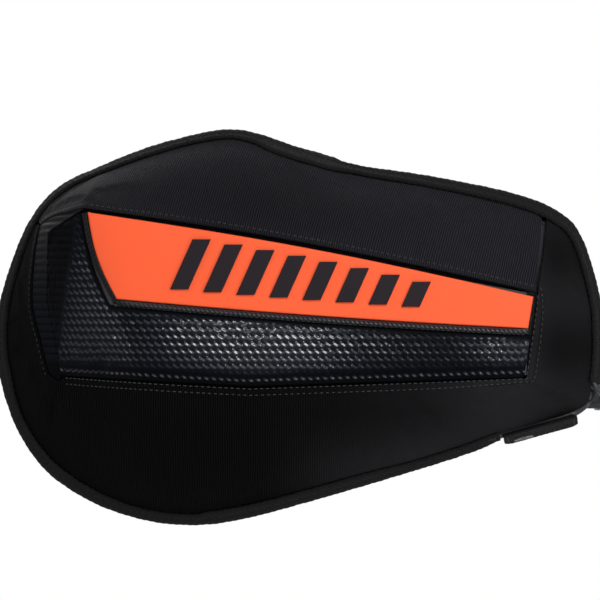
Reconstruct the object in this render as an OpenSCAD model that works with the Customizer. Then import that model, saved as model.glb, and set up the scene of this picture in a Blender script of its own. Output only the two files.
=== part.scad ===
// Soft hand guard for the right-hand end of a handlebar.
// Ribbed fabric shell sewn over a sprung wire rim, padded front band, split bar clamp.
// Millimetres. The origin is the centre of the clamp bore: bar along X, front -Y, up +Z.

/* [Shell] */
// Length of the shell from its outer end to the clamp end
shell_length = 336; // [300:1:380]
// Height of the shell from lowest point to peak
shell_height = 217; // [195:1:245]
// Distance of the front band ahead of the bar axis
shell_reach = 110; // [95:1:130]
// Radius of the gentle wrap of the front along its length
wrap_radius = 700; // [500:10:1200]
// Radius of the gentle curve of the front over its height
rise_radius = 400; // [250:10:900]
// Angle by which the outer end of the band turns back
turn_angle = 40; // [25:1:50]

/* [Layers] */
// Thickness of the ribbed outer fabric
fabric_t = 1.2; // [0.8:0.1:2]
// Thickness of the lining with its thin padding
lining_t = 2; // [1:0.1:3]
// Thickness of the embossed vinyl
vinyl_t = 1.2; // [0.8:0.1:2]
// Thickness of the padding behind the front band
foam_t = 6; // [4:0.5:9]
// Height of the padded crown of the lower band
crown_h = 4.5; // [2:0.5:7]
// Thickness of the binding tape
tape_t = 1.1; // [0.8:0.1:1.6]
// Width of the binding on the front and back of the rim
tape_w = 5.5; // [4:0.5:9]
// Clearance between layers that lie on each other
layer_gap = 0.15; // [0.1:0.05:0.3]

/* [Front band] */
// Height of the orange plate above the vinyl round it
accent_proud = 1.3; // [0.8:0.1:2]
// Gap between the orange plate and the vinyl, filled by the rolled lip
lip_gap = 3.4; // [2.6:0.1:5]
// Width of the rolled lip
lip_w = 2.7; // [2:0.1:4.4]
// Height of the rolled lip above the vinyl
lip_h = 1.8; // [1:0.1:2.6]
// Number of slanted relief bars
bar_count = 8; // [4:1:10]
// Width of one relief bar
relief_w = 10; // [6:0.5:14]
// Distance from one relief bar to the next
relief_pitch = 18; // [14:0.5:26]
// Height of the relief bars above the plate
relief_h = 1.5; // [0.8:0.1:2]
// Sideways lean of a relief bar over its height
relief_lean = 0.45; // [0:0.05:0.7]

/* [Frame wire] */
// Diameter of the sprung steel wire
wire_d = 5; // [4:0.5:6]
// Distance between the two legs at the clamp
leg_spacing = 14; // [12:1:20]
// Depth of the legs in the clamp
leg_depth = 27; // [20:1:32]

/* [Bar clamp] */
// Diameter of the handlebar
bar_d = 22.2; // [22.2:0.1:28.6]
// Width of the clamp along the bar
clamp_w = 26; // [22:1:34]
// Wall of the clamp round the bar
clamp_wall = 6.4; // [5:0.2:9]
// Opening between body and cap
clamp_split = 1.6; // [1:0.2:3]
// Diameter of the clamp screws
screw_d = 6; // [5:1:8]
// Diameter of the leg plate screws
leg_screw_d = 5; // [4:1:6]
// Thickness of the leg plate under the wire centres
leg_plate_t = 8; // [7:0.5:11]
// Wall of the rubber bushings round the legs
bushing_wall = 1.4; // [1:0.1:2]

/* [Closure tab] */
// Width of the tab along the shell edge
tab_w = 42; // [34:1:52]
// Length of the tab behind the shell edge
tab_len = 21.5; // [18:0.5:28]
// Downward slope of the tab
tab_pitch = 12; // [0:1:25]
// Diameter of the press stud cap
snap_d = 11.4; // [10:0.2:14]

/* [Part] */
// Sub-part to draw, or all

/* [Hidden] */
$fn = 48;

// Scale of the outline from the size it was drawn at
kx = shell_length / 336;
kz = shell_height / 217;

// Corners of the front band, seen from the front: x, z
band_corners = [
  [-305.5 * kx, 64.8 * kz], [-285.5 * kx, 75.4 * kz], [-39.8 * kx, 33 * kz],
  [-41.4 * kx, -15.4 * kz], [-194.7 * kx, -19.8 * kz], [-298.5 * kx, -14.3 * kz],
  [-306.5 * kx, 27.5 * kz]
];
// Upward bow of the long top edge of the band
top_bow = 1.8;

// Rim stations clockwise from the left seam: band position, x, z, y, roundness
rim_rows = [
  [0, -316.3, 73, -36, 0.35], [0.55, -299.8, 91, -42, 0.5],
  [1.06, -274.5, 102.9, -50, 0.7], [1.19, -241.5, 114.4, -56, 0.8],
  [1.34, -203, 121, -58, 0.8], [1.47, -167.2, 111.1, -60, 0.8],
  [1.6, -134.2, 101.6, -62, 0.8], [1.75, -95.7, 95.2, -65, 0.8],
  [1.93, -51.7, 85.8, -67, 0.8], [2.02, -26.4, 75.9, -67, 0.75],
  [2.12, -12.6, 61.5, -65, 0.7], [2.36, -2.5, 28, -62, 0.6],
  [2.62, -0.7, 0, -61, 0.6], [2.88, -3.2, -21, -61, 0.6],
  [3.03, -8.6, -33.8, -63, 0.6], [3.12, -33, -42.6, -67, 0.6],
  [3.22, -57.2, -50, -69, 0.7], [3.36, -87.5, -60.5, -70, 0.8],
  [3.72, -150.7, -79.2, -69, 0.8], [4.06, -200.2, -92.2, -65, 0.8],
  [4.32, -230.5, -95.2, -61, 0.8], [4.56, -258, -91.3, -55, 0.7],
  [4.8, -283.8, -81.4, -47, 0.6], [4.97, -307.5, -64.9, -38, 0.45],
  [5.25, -324, -41.3, -29, 0.3], [5.65, -333.6, -11, -23, 0.2],
  [6, -334.8, 16.5, -23, 0.2], [6.45, -328, 45.1, -28, 0.25]
];
rim_n = len(rim_rows);
rim_map = concat([for (i = [0:rim_n - 1]) [rim_rows[i][0], i]], [[7, rim_n]]);
rim_pts = [for (r = rim_rows) [r[1] * kx, r[3], r[2] * kz, r[4]]];
// Distance from the outside of the binding in to the cut edge of the layers
rim_inset = 3.8;
// Turn of the layers between the band seam and the rim
side_turn = 60;
// Step used to find the direction of a surface
tiny = 0.004;

// Cut edge of the layers to the wire centre, and wire centre behind the front face
stack_t = fabric_t + layer_gap + lining_t;
wire_r = wire_d / 2;
wire_out = wire_r + 0.8;
wire_in = -stack_t / 2;
tape_r = wire_r + 0.15;

function lerp(a, b, t) = a + (b - a) * t;
function unit(v) = v / norm(v);
function clamp01(t) = min(1, max(0, t));
function smooth(t) = let (k = clamp01(t)) k * k * (3 - 2 * k);
function flat(rows) = [for (r = rows) each r];
function seg(a, b, n) = [for (i = [0:n - 1]) a + (b - a) * i / n];
function wrap(c) = c - 7 * floor(c / 7);
function catmull(a, b, c, d, t) =
  0.5 * (2 * b + (c - a) * t + (2 * a - 5 * b + 4 * c - d) * t * t
  + (3 * b - a - 3 * c + d) * t * t * t);

// Point and roundness of the outline at a band position
function rim_raw(c) = let (
    u = lookup(wrap(c), rim_map),
    i = floor(u)
  ) catmull(rim_pts[(i - 1 + rim_n) % rim_n], rim_pts[i % rim_n],
    rim_pts[(i + 1) % rim_n], rim_pts[(i + 2) % rim_n], u - i);
// Cut edge of the layers, inside the outline
function rim_edge(c) = let (
    p = rim_raw(c),
    d = rim_raw(c + tiny) - rim_raw(c - tiny),
    l = norm([d[0], d[2]])
  ) [p[0] + d[2] / l * rim_inset, p[1], p[2] - d[0] / l * rim_inset, p[3]];

// Seam of the front band at a band position: x, z
function band_edge(c) = let (
    w = wrap(c),
    i = floor(w),
    t = w - i,
    p = lerp(band_corners[i], band_corners[(i + 1) % 7], t)
  ) [p[0], p[1] + (i == 1 ? top_bow * sin(180 * t) : 0)];

// Corners of the orange plate: outer lower, inner lower, inner upper, outer upper
plate_ol = [-267.3 * kx, 28 * kz];
plate_il = [-43.4 * kx, 12 * kz];
plate_iu = [-42.6 * kx, 31.6 * kz];
plate_ou = [-283.2 * kx, 73.4 * kz];
plate_sag = 1.3;
function plate_low(x) = let (t = (x - plate_ol[0]) / (plate_il[0] - plate_ol[0]))
  lerp(plate_ol[1], plate_il[1], t) - plate_sag * 4 * t * (1 - t);
function plate_top(x) = let (t = (x - plate_ou[0]) / (plate_iu[0] - plate_ou[0]))
  lerp(plate_ou[1], plate_iu[1], t) + top_bow * sin(180 * clamp01(t));

// Lower seam of the band over x
function band_low(x) = lookup(x, [for (i = [5, 4, 3]) band_corners[i]]);
// Slanted crease where the outer end turns back
crease_w = 5;
function crease_x(z) = plate_ol[0] - 2 + (plate_ol[1] - z) * 0.35;

// Depth of the front band, without and with its padded crown
function base_y(x, z) = let (
    k = (crease_x(z) - x) / crease_w,
    turn = k > 20 ? k : ln(1 + exp(k))
  ) -shell_reach + pow(x + 170 * kx, 2) / (2 * wrap_radius)
  + pow(z - 25, 2) / (2 * rise_radius) + tan(turn_angle) * crease_w * turn;
function crown(x, z) = let (
    v = clamp01((z - band_low(x)) / (plate_low(x) - band_low(x))),
    ends = smooth((x - crease_x(z) + 2) / 22) * smooth((band_corners[3][0] - x) / 12)
  ) crown_h * ends * (1 - pow(abs(2 * v - 1), 3));
function band_y(x, z) = base_y(x, z) - crown(x, z);
function band_pt(p, back) = [p[0], band_y(p[0], p[1]) + back, p[1]];

// Side wall of the shell: c runs round the band, s from the seam to the rim
seam_drop = 0.3;
function side_raw(c, s) = let (
    b = band_edge(c),
    o = rim_edge(c),
    k = o[3],
    a = side_turn * s,
    g = lerp(s, sin(a) / sin(side_turn), k),
    f = lerp(s, (1 - cos(a)) / (1 - cos(side_turn)), k)
  ) [lerp(b[0], o[0], g), lerp(base_y(b[0], b[1]) + seam_drop, o[1], f), lerp(b[1], o[2], g)];
function side_dc(c, s) = side_raw(c + tiny, s) - side_raw(c - tiny, s);
function side_ds(c, s) = side_raw(c, min(1, s + 0.01)) - side_raw(c, max(0, s - 0.01));
function side_normal(c, s) = unit(cross(side_dc(c, s), side_ds(c, s)));
// Direction of the layers: straight back at the band seam, square to the wall further out
function layer_dir(c, s) = unit(lerp([0, -1, 0], side_normal(c, s), smooth(s / 0.28)));
function side_pt(c, s, depth) = side_raw(c, s) - layer_dir(c, s) * depth;
// Rim frame: origin on the cut edge, outward along the wall, and the front normal
function rim_at(c, out, up) = let (
    t = unit(side_dc(c, 1)),
    n = side_normal(c, 1),
    e = unit(cross(n, t))
  ) side_raw(c, 1) + e * out + n * up;
// Last row of the layers before the cut edge, where the tape lies on them
last_step = 0.86;
function tape_pt(c, out, up) = out > 0 ? rim_at(c, out, up) : let (
    a = side_pt(c, 1, -up),
    b = side_pt(c, last_step, -up)
  ) lerp(a, b, -out / norm(b - a));

// Band positions used for every layer of the side wall
c_top = concat(seg(0, 1, 4), seg(1, 2, 22));
c_right = seg(2, 3, 12);
c_low = concat(seg(3, 3.24, 4), seg(3.24, 4, 11), seg(4, 5, 11));
c_left = concat(seg(5, 6, 6), seg(6, 7, 6));
c_ring = concat(c_top, c_right, c_low, c_left);
s_steps = [0, 0.12, 0.3, 0.5, 0.7, last_step, 1];
// The same for the outer fabric, which starts a seam's width from the band
s_outer = [0.012, 0.12, 0.3, 0.5, 0.7, last_step, 1];
// Half the seam at the left corner, right-hand fold, half its width, and the binding ends
seam_c = 0.013;
fold_c = 2;
fold_gap = 0.006;
bind_from = 3.24;
bind_to = 2.85;

// Closed solid between two grids of points
module grid_solid(front, back) {
  ni = len(front);
  nj = len(front[0]);
  m = ni * nj;
  faces = concat(
    [for (i = [0:ni - 2], j = [0:nj - 2]) let (
      a = i * nj + j, b = a + 1, d = a + nj, c = d + 1
    ) each [[a, b, c], [a, c, d], [m + a, m + c, m + b], [m + a, m + d, m + c]]],
    [for (i = [0:ni - 2]) let (a = i * nj, d = a + nj, b = a + nj - 1, c = b + nj)
      each [[a, d, m + d], [a, m + d, m + a], [c, b, m + b], [c, m + b, m + c]]],
    [for (j = [0:nj - 2]) let (a = j, b = j + 1, d = m - nj + j, c = d + 1)
      each [[b, a, m + a], [b, m + a, m + b], [d, c, m + c], [d, m + c, m + d]]]
  );
  polyhedron(concat(flat(front), flat(back)), faces, convexity = 6);
}

// Solid swept through closed rings of points, with flat ends
module sweep_solid(rings) {
  n = len(rings);
  k = len(rings[0]);
  faces = concat(
    [for (i = [0:n - 2], j = [0:k - 1]) let (
      a = i * k + j, b = i * k + (j + 1) % k, d = a + k, c = b + k
    ) each [[a, c, b], [a, d, c]]],
    [[for (j = [0:k - 1]) j]],
    [[for (j = [k - 1:-1:0]) (n - 1) * k + j]]
  );
  polyhedron(flat(rings), faces, convexity = 6);
}

module side_layer(cs, d_front, d_back) {
  grid_solid(
    [for (c = cs) [for (s = s_outer) side_pt(c, s, d_front)]],
    [for (c = cs) [for (s = s_outer) side_pt(c, s, d_back)]]
  );
}

module upper_panel() {
  color("#1f1f21") side_layer(concat([seam_c],
    [for (i = [1:len(c_top) - 1]) c_top[i]], [fold_c - fold_gap]),
    0, fabric_t);
}

module lower_panel() {
  color("#1b1b1c") side_layer(concat([fold_c + fold_gap],
    [for (i = [1:len(c_right) - 1]) c_right[i]], c_low, c_left, [7 - seam_c]), 0, fabric_t);
}

// Upper and lower edges of the vinyl, from the outer end to the inner end
vinyl_turn = [plate_ol[0] - lip_gap * 1.3, plate_ol[1] - lip_gap];
vinyl_up = concat(
  [for (t = seg(0, 1, 3)) lerp(band_edge(0.02), [plate_ou[0] - lip_gap, plate_ou[1]], t)],
  [for (t = seg(0, 1, 9)) lerp([plate_ou[0] - lip_gap, plate_ou[1]], vinyl_turn, t)],
  [for (t = [0:1 / 24:1]) let (x = lerp(vinyl_turn[0], band_corners[3][0] - 0.4, t))
    [x, plate_low(max(x, plate_ol[0])) - lip_gap]]
);
vinyl_low = concat(
  [for (t = seg(0, 1, 3)) band_edge(6.98 - 0.98 * t)],
  [for (t = seg(0, 1, 9)) band_edge(6 - 1.38 * pow(t, 0.75))],
  [for (t = [0:1 / 24:1]) band_edge(lerp(4.62, 3.004, t))]
);
vinyl_rows = [0, 0.06, 0.16, 0.34, 0.66, 0.84, 0.94, 1];

module embossed_panel() {
  color("#232326") grid_solid(
    [for (i = [0:len(vinyl_up) - 1]) [for (v = vinyl_rows)
      band_pt(lerp(vinyl_low[i], vinyl_up[i], v), 0)]],
    [for (i = [0:len(vinyl_up) - 1]) [for (v = vinyl_rows)
      band_pt(lerp(vinyl_low[i], vinyl_up[i], v), vinyl_t)]]
  );
}

function plate_pt(t, v) = let (
    low = [lerp(plate_ol[0], plate_il[0], t), plate_low(lerp(plate_ol[0], plate_il[0], t))],
    top = [lerp(plate_ou[0], plate_iu[0], t), plate_top(lerp(plate_ou[0], plate_iu[0], t))]
  ) lerp(low, top, v);
plate_cols = [for (i = [0:26]) i / 26];
plate_rows = [0, 0.2, 0.5, 0.8, 1];

module accent_panel() {
  color("#fa6a40") grid_solid(
    [for (t = plate_cols) [for (v = plate_rows) band_pt(plate_pt(t, v), -accent_proud)]],
    [for (t = plate_cols) [for (v = plate_rows) band_pt(plate_pt(t, v), vinyl_t)]]
  );
}

// One relief bar, leaning with its top to the inner end
relief_low = 8;
relief_top = 8;
relief_from = -238 * kx;
function relief_pt(x, v, side) = let (
    z0 = plate_low(x) + relief_low,
    z1 = plate_top(x) - relief_top,
    z = lerp(z0, z1, v)
  ) [x + side + (z - z0) * relief_lean, z];

module accent_bars() {
  color("#2d292c") for (k = [0:bar_count - 1]) {
    x0 = relief_from + k * relief_pitch;
    grid_solid(
      [for (u = [0:0.5:1]) [for (v = [0:0.25:1])
        band_pt(relief_pt(x0, v, u * relief_w), -accent_proud - 0.05 - relief_h)]],
      [for (u = [0:0.5:1]) [for (v = [0:0.25:1])
        band_pt(relief_pt(x0, v, u * relief_w), -accent_proud - 0.05)]]
    );
  }
}

// Centre line of the lip, down the outer edge and along the lower edge of the plate
lip_mid = lip_gap / 2;
lip_path = concat(
  [for (t = seg(0, 1, 8)) lerp([plate_ou[0] - lip_mid * 1.04, plate_ou[1] - 0.5],
    [plate_ol[0] - lip_mid * 1.04, plate_ol[1] + 1], t)],
  [for (t = [0:1 / 24:1]) let (x = lerp(plate_ol[0] - lip_mid * 0.5, plate_il[0], t))
    [x, plate_low(max(x, plate_ol[0])) - lip_mid]]
);
lip_n = len(lip_path);
function lip_side(i) = let (
    d = unit(lip_path[min(i + 1, lip_n - 1)] - lip_path[max(i - 1, 0)])
  ) [-d[1], d[0]];
lip_cols = [-1, -0.75, -0.3, 0.3, 0.75, 1];

module accent_lip() {
  color("#202023") grid_solid(
    [for (i = [0:lip_n - 1]) [for (k = lip_cols)
      band_pt(lip_path[i] + lip_side(i) * k * lip_w / 2, -lip_h * (1 - k * k * k * k))]],
    [for (i = [0:lip_n - 1]) [for (k = lip_cols)
      band_pt(lip_path[i] + lip_side(i) * k * lip_w / 2, vinyl_t)]]
  );
}

// Padding, cut a little smaller than the band, in columns across its length
foam_out = -303.5 * kx;
foam_in = -43.5 * kx;
foam_xs = concat([foam_out], seg(foam_out + 3, foam_out + 63, 9), [for (i = [0:16])
  lerp(foam_out + 63, foam_in, i / 16)]);
foam_margin = 2.2;
function foam_low(x) = lookup(x, [[foam_out, 14], [foam_out + 6, band_corners[5][1] + foam_margin],
  for (i = [4, 3]) [band_corners[i][0], band_corners[i][1] + foam_margin]]);
function foam_top(x) = lookup(x, [[foam_out, band_corners[0][1] - foam_margin],
  [band_corners[1][0], band_corners[1][1] - foam_margin - 0.6],
  for (t = [0.25, 0.5, 0.75, 1]) band_edge(min(1.999, 1 + t)) - [0, foam_margin]]);
function foam_break(x) = min(plate_low(max(x, plate_ol[0])) - 0.3, foam_top(x) - 6);
foam_rows = [0, 0.05, 0.12, 0.22, 0.36, 0.64, 0.78, 0.88, 0.95, 1];
function foam_col(x) = concat(
  [for (v = foam_rows) [x, lerp(foam_low(x), foam_break(x), v)]],
  [for (v = [0.34, 0.67, 1]) [x, lerp(foam_break(x), foam_top(x), v)]]
);
// Slack that lets the padding settle behind the curved layers
foam_slack = 0.4;

module band_foam() {
  color("#3a3a3d") grid_solid(
    [for (x = foam_xs) [for (p = foam_col(x)) band_pt(p, vinyl_t + layer_gap + foam_slack)]],
    [for (x = foam_xs) [for (p = foam_col(x)) [x, base_y(x, p[1]) + vinyl_t + foam_t, p[1]]]]
  );
}

// Lining: side wall and centre in one closed layer
ring_n = len(c_ring);
ns = len(s_steps);
nt = len(c_top);
nm = len(c_right);
function lining_depth(s) = fabric_t + layer_gap + (foam_t + 0.25) * (1 - smooth(s / 0.5));
// Centre of the lining, blended from its four sides
function lining_xz(i, j) = let (
    u = i / nt,
    v = j / nm,
    top = band_edge(c_ring[i % ring_n]),
    low = band_edge(c_ring[(2 * nt + nm - i) % ring_n]),
    out = band_edge(c_ring[(ring_n - j) % ring_n]),
    inn = band_edge(c_ring[nt + j]),
    cross4 = lerp(lerp(band_edge(0), band_edge(2), u), lerp(band_edge(5), band_edge(3), u), v)
  ) lerp(top, low, v) + lerp(out, inn, u) - cross4;
function lining_mid(i, j, more) = let (p = lining_xz(i, j))
  [p[0], base_y(p[0], p[1]) + seam_drop + lining_depth(0) + more, p[1]];
function lining_pts(more) = concat(
  [for (c = c_ring) for (s = s_steps) side_pt(c, s, lining_depth(s) + more)],
  [for (i = [1:nt - 1]) for (j = [1:nm - 1]) lining_mid(i, j, more)]
);
function lining_id(i, j) =
  j == 0 ? i * ns
  : i == nt ? (nt + j) * ns
  : j == nm ? (2 * nt + nm - i) * ns
  : i == 0 ? ((ring_n - j) % ring_n) * ns
  : ring_n * ns + (i - 1) * (nm - 1) + j - 1;

module inner_lining() {
  m = ring_n * ns + (nt - 1) * (nm - 1);
  quads = concat(
    [for (i = [0:ring_n - 1], j = [0:ns - 2]) let (a = i * ns + j, d = (i + 1) % ring_n * ns + j)
      [a, a + 1, d + 1, d]],
    [for (i = [0:nt - 1], j = [0:nm - 1])
      [lining_id(i, j + 1), lining_id(i, j), lining_id(i + 1, j), lining_id(i + 1, j + 1)]]
  );
  faces = concat(
    [for (q = quads) each [[q[0], q[1], q[2]], [q[0], q[2], q[3]]]],
    [for (q = quads) each [[m + q[0], m + q[2], m + q[1]], [m + q[0], m + q[3], m + q[2]]]],
    [for (i = [0:ring_n - 1]) let (b = i * ns + ns - 1, c = (i + 1) % ring_n * ns + ns - 1)
      each [[c, b, m + b], [c, m + b, m + c]]]
  );
  color("#2b2b2e") polyhedron(concat(lining_pts(0), lining_pts(lining_t)), faces, convexity = 8);
}

// Binding section: distance outward from the cut edge, height above the front face
tape_gap = 0.22;
tape_in = [
  [-tape_w, tape_gap], [0.2, tape_gap],
  for (a = [115:-46:-115]) [wire_out + cos(a) * tape_r, wire_in + sin(a) * tape_r],
  [0.2, -stack_t - tape_gap], [-tape_w, -stack_t - tape_gap]
];
tape_out = [
  [-tape_w, -stack_t - tape_gap - tape_t], [0.2, -stack_t - tape_gap - tape_t],
  for (a = [-115:46:115])
    [wire_out + cos(a) * (tape_r + tape_t), wire_in + sin(a) * (tape_r + tape_t)],
  [0.2, tape_gap + tape_t], [-tape_w, tape_gap + tape_t]
];
tape_section = concat(tape_in, tape_out);
bind_cs = concat([for (c = c_low) if (c >= bind_from - 0.001) c], c_left,
  [for (c = c_top) c + 7], [for (c = c_right) if (c < bind_to - 0.03) c + 7], [bind_to + 7]);

module edge_binding() {
  color("#151515") sweep_solid([for (c = bind_cs) [for (p = tape_section)
    tape_pt(c, p[0], p[1])]]);
}

// Handlebar clamp sizes
clamp_r = bar_d / 2 + clamp_wall;
ear_y = 9;
screw_z = bar_d / 2 + screw_d / 2 + 3.4;
ear_z = screw_z + screw_d / 2 + 3.6;
leg_z = -24.5;
leg_front = -37;
leg_back = leg_front + leg_depth;
sleeve_r = wire_r + 0.1 + bushing_wall;
leg_x = leg_spacing / 2;

// Place of the closure tab on the shell edge
tab_at = [-36 * kx, -66.6, -39.6 * kz];
tab_rise = 15.5;
// Height of the upper face of the tab below the cut edge
tab_drop = 2.3;
function tab_to_world(p) = let (
    y = p[1] * cos(tab_pitch) + p[2] * sin(tab_pitch),
    z = -p[1] * sin(tab_pitch) + p[2] * cos(tab_pitch)
  ) tab_at + [p[0] * cos(tab_rise) - z * sin(tab_rise), y, p[0] * sin(tab_rise) + z * cos(tab_rise)];

// Centre line of the frame wire: inner leg, rim, tab, outer leg
leg_in = [
  [leg_x, leg_back, leg_z], [leg_x, leg_back - 9, leg_z], [leg_x, leg_front + 8, leg_z],
  [leg_x, leg_front, leg_z], [leg_x - 0.9, leg_front - 5.5, leg_z - 0.9],
  [leg_x - 4.4, leg_front - 11.5, leg_z - 1.4], [leg_x - 8.8, leg_front - 17, leg_z + 1.8]
];
leg_out = [
  tab_to_world([-12, 4.4, 0.4]), tab_to_world([5, 4.8, 0.4]), tab_to_world([20, 4.8, 0.4]),
  [-leg_x - 3, leg_front - 19.5, leg_z - 5.5], [-leg_x - 0.4, leg_front - 9, leg_z - 1.2],
  [-leg_x, leg_front, leg_z], [-leg_x, leg_front + 8, leg_z],
  [-leg_x, leg_back - 9, leg_z], [-leg_x, leg_back, leg_z]
];
function resample(p, n) = [for (i = [0:len(p) - 2]) each [for (t = seg(0, 1, n))
  catmull(p[max(i - 1, 0)], p[i], p[i + 1], p[min(i + 2, len(p) - 1)], t)]];
rim_line = [for (k = [len(bind_cs) - 1:-1:0]) rim_at(bind_cs[k], wire_out, wire_in)];
leg_in_line = resample(concat(leg_in, [rim_line[0], rim_line[1]]), 3);
leg_in_keep = [for (i = [0:(len(leg_in)) * 3 - 1]) leg_in_line[i]];
leg_out_line = resample(concat([rim_line[len(rim_line) - 2], rim_line[len(rim_line) - 1]],
  leg_out), 3);
leg_out_keep = concat([for (i = [4:len(leg_out_line) - 1]) leg_out_line[i]],
  [leg_out[len(leg_out) - 1]]);
wire_path = concat(leg_in_keep, rim_line, leg_out_keep);
wire_n = len(wire_path);
function wire_dir(i) = unit(wire_path[min(i + 1, wire_n - 1)] - wire_path[max(i - 1, 0)]);
wire_side = [for (i = 0, n = unit(cross(wire_dir(0), [0, 0, 1])); i < wire_n;
  i = i + 1, n = let (t = wire_dir(min(i, wire_n - 1))) unit(n - t * (n * t))) n];
wire_facets = 8;

module frame_wire() {
  color("#33353a") sweep_solid([for (i = [0:wire_n - 1]) let (
    t = wire_dir(i),
    n = unit(wire_side[i] - t * (wire_side[i] * t)),
    b = cross(t, n)
  ) [for (k = [0:wire_facets - 1]) let (a = -360 * k / wire_facets)
    wire_path[i] + (n * cos(a) + b * sin(a)) * wire_r]]);
}

module in_tab() {
  translate(tab_at) rotate([0, -tab_rise, 0]) rotate([-tab_pitch, 0, 0]) children();
}

module strip(profile) {
  rotate([90, 0, 90]) linear_extrude(height = tab_w, center = true) polygon(profile);
}

// Cuts the two free corners off a flap that ends at this distance
corner_cut = 5;
module cut_corners(end) {
  difference() {
    children();
    for (side = [-1, 1]) translate([side * tab_w / 2, end, 0]) rotate([0, 0, 45])
      cube([corner_cut * 1.4, corner_cut * 1.4, 30], center = true);
  }
}

// Press stud: place on the tab, size of the mated pair
snap_x = -10;
snap_y = 14.4;
snap_gap = 3;
hole_r = 1.9;
module stud_place(z) {
  in_tab() translate([snap_x, snap_y, z]) children();
}

module closure_tab() {
  color("#1d1d1e") difference() {
    in_tab() cut_corners(tab_len) strip([
      [-2.5, -tab_drop], [tab_len, -tab_drop], [tab_len, -tab_drop - fabric_t],
      [-2.5, -tab_drop - fabric_t]
    ]);
    stud_place(-10) cylinder(r = hole_r, h = 20);
  }
}

// The inner flap passes over the wire, then comes down to the press stud
flap_low = -tab_drop + snap_gap;
flap_over = 3.3;
module tab_base() {
  color("#262629") difference() {
    in_tab() cut_corners(tab_len - 1.5) strip([
      [3.1, flap_over], [7.6, flap_over], [9.4, flap_low], [tab_len - 1.5, flap_low],
      [tab_len - 1.5, flap_low + fabric_t], [10.2, flap_low + fabric_t],
      [8.4, flap_over + fabric_t], [3.1, flap_over + fabric_t]
    ]);
    stud_place(-10) cylinder(r = hole_r, h = 20);
  }
}

cap_h = 1;
module snap_cap() {
  color("#9a9da2") stud_place(-tab_drop - fabric_t) rotate_extrude() polygon([
    [0, -cap_h], [snap_d * 0.28, -cap_h * 0.92], [snap_d * 0.43, -cap_h * 0.6],
    [snap_d / 2, 0], [hole_r - 0.1, 0], [hole_r - 0.1, fabric_t + 0.4], [0, fabric_t + 0.4]
  ]);
}

socket_h = 1.9;
module snap_socket() {
  color("#8a8d92") stud_place(-tab_drop) difference() {
    cylinder(d = snap_d * 0.84, h = socket_h);
    translate([0, 0, -1]) cylinder(r = hole_r + 0.1, h = socket_h + 2);
    translate([0, 0, 0.7]) cylinder(d = snap_d * 0.36, h = socket_h);
  }
}

module snap_stud() {
  color("#8a8d92") stud_place(flap_low) rotate([180, 0, 0]) rotate_extrude() polygon([
    [hole_r + 0.1, 0], [snap_d * 0.42, 0], [snap_d * 0.42, 0.6], [snap_d * 0.17, 0.8],
    [snap_d * 0.17, 2.2], [hole_r * 0.5, 2.2], [hole_r * 0.5, 1.05], [hole_r + 0.1, 0.55]
  ]);
}

module snap_post() {
  color("#8a8d92") stud_place(flap_low + fabric_t) rotate_extrude() polygon([
    [0, -fabric_t - 0.9], [hole_r * 0.48, -fabric_t - 0.9], [hole_r - 0.1, -fabric_t - 0.5],
    [hole_r - 0.1, 0], [snap_d * 0.33, 0], [snap_d * 0.33, 0.5], [snap_d * 0.25, 0.9], [0, 0.9]
  ]);
}

// Side view of half a clamp, drawn in y and z
module clamp_half_2d() {
  union() {
    intersection() {
      circle(r = clamp_r, $fn = 96);
      translate([-clamp_r * 2 - clamp_split / 2, -clamp_r * 2]) square([clamp_r * 2, clamp_r * 4]);
    }
    translate([-ear_y, -ear_z]) square([ear_y - clamp_split / 2, ear_z * 2]);
  }
}

module along_bar(w) {
  rotate([90, 0, 90]) linear_extrude(height = w, center = true) children();
}

module screw_hole(z, d) {
  translate([0, 30, z]) rotate([90, 0, 0]) cylinder(d = d, h = 60);
}

module leg_bores() {
  for (x = [-leg_x, leg_x]) translate([x, leg_front - 5, leg_z]) rotate([-90, 0, 0])
    cylinder(r = sleeve_r + 0.05, h = leg_depth + 5.6);
}

leg_screw_y = [leg_front + 6, leg_back - 5];
leg_cut = 0.4;
// Extra depth of the recess for the leg screw heads
head_sink = 1.5;
block_top = -bar_d / 2 - 2;
module bar_clamp_body() {
  color("#2a2c30") difference() {
    union() {
      along_bar(clamp_w) clamp_half_2d();
      along_bar(clamp_w) polygon([
        [leg_front, leg_z + leg_cut], [leg_front, leg_z + 10], [-clamp_r * 0.8, block_top + 9],
        [-4, block_top], [-4, leg_z + leg_cut]
      ]);
    }
    rotate([0, 90, 0]) cylinder(d = bar_d, h = 80, center = true, $fn = 96);
    screw_hole(screw_z, screw_d);
    difference() {
      screw_hole(-screw_z, screw_d);
      translate([-15, -60, -60]) cube([30, 60 - ear_y, 60]);
    }
    leg_bores();
    for (y = leg_screw_y) translate([0, y, leg_z - 1]) cylinder(d = leg_screw_d, h = 10);
  }
}

module bar_clamp_cap() {
  color("#2a2c30") difference() {
    along_bar(clamp_w) mirror([1, 0]) clamp_half_2d();
    rotate([0, 90, 0]) cylinder(d = bar_d, h = 80, center = true, $fn = 96);
    screw_hole(screw_z, screw_d + 0.6);
    screw_hole(-screw_z, screw_d + 0.6);
    for (z = [-screw_z, screw_z]) translate([0, ear_y, z]) rotate([-90, 0, 0])
      cylinder(d = screw_d * 1.8 + 0.8, h = 20);
  }
}

washer_t = 1.2;
module cap_screw(d, shank, head) {
  difference() {
    union() {
      cylinder(d = d, h = shank);
      translate([0, 0, shank]) cylinder(d = head, h = d);
    }
    translate([0, 0, shank + d * 0.5]) cylinder(d = d * 0.95, h = d, $fn = 6);
  }
}

module clamp_screw(z) {
  color("#77797d") translate([0, -ear_y + 1, z]) rotate([-90, 0, 0])
    cap_screw(screw_d, 2 * ear_y - 1 + washer_t, screw_d * 1.6);
}

module clamp_screw_upper() {
  clamp_screw(screw_z);
}

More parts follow.
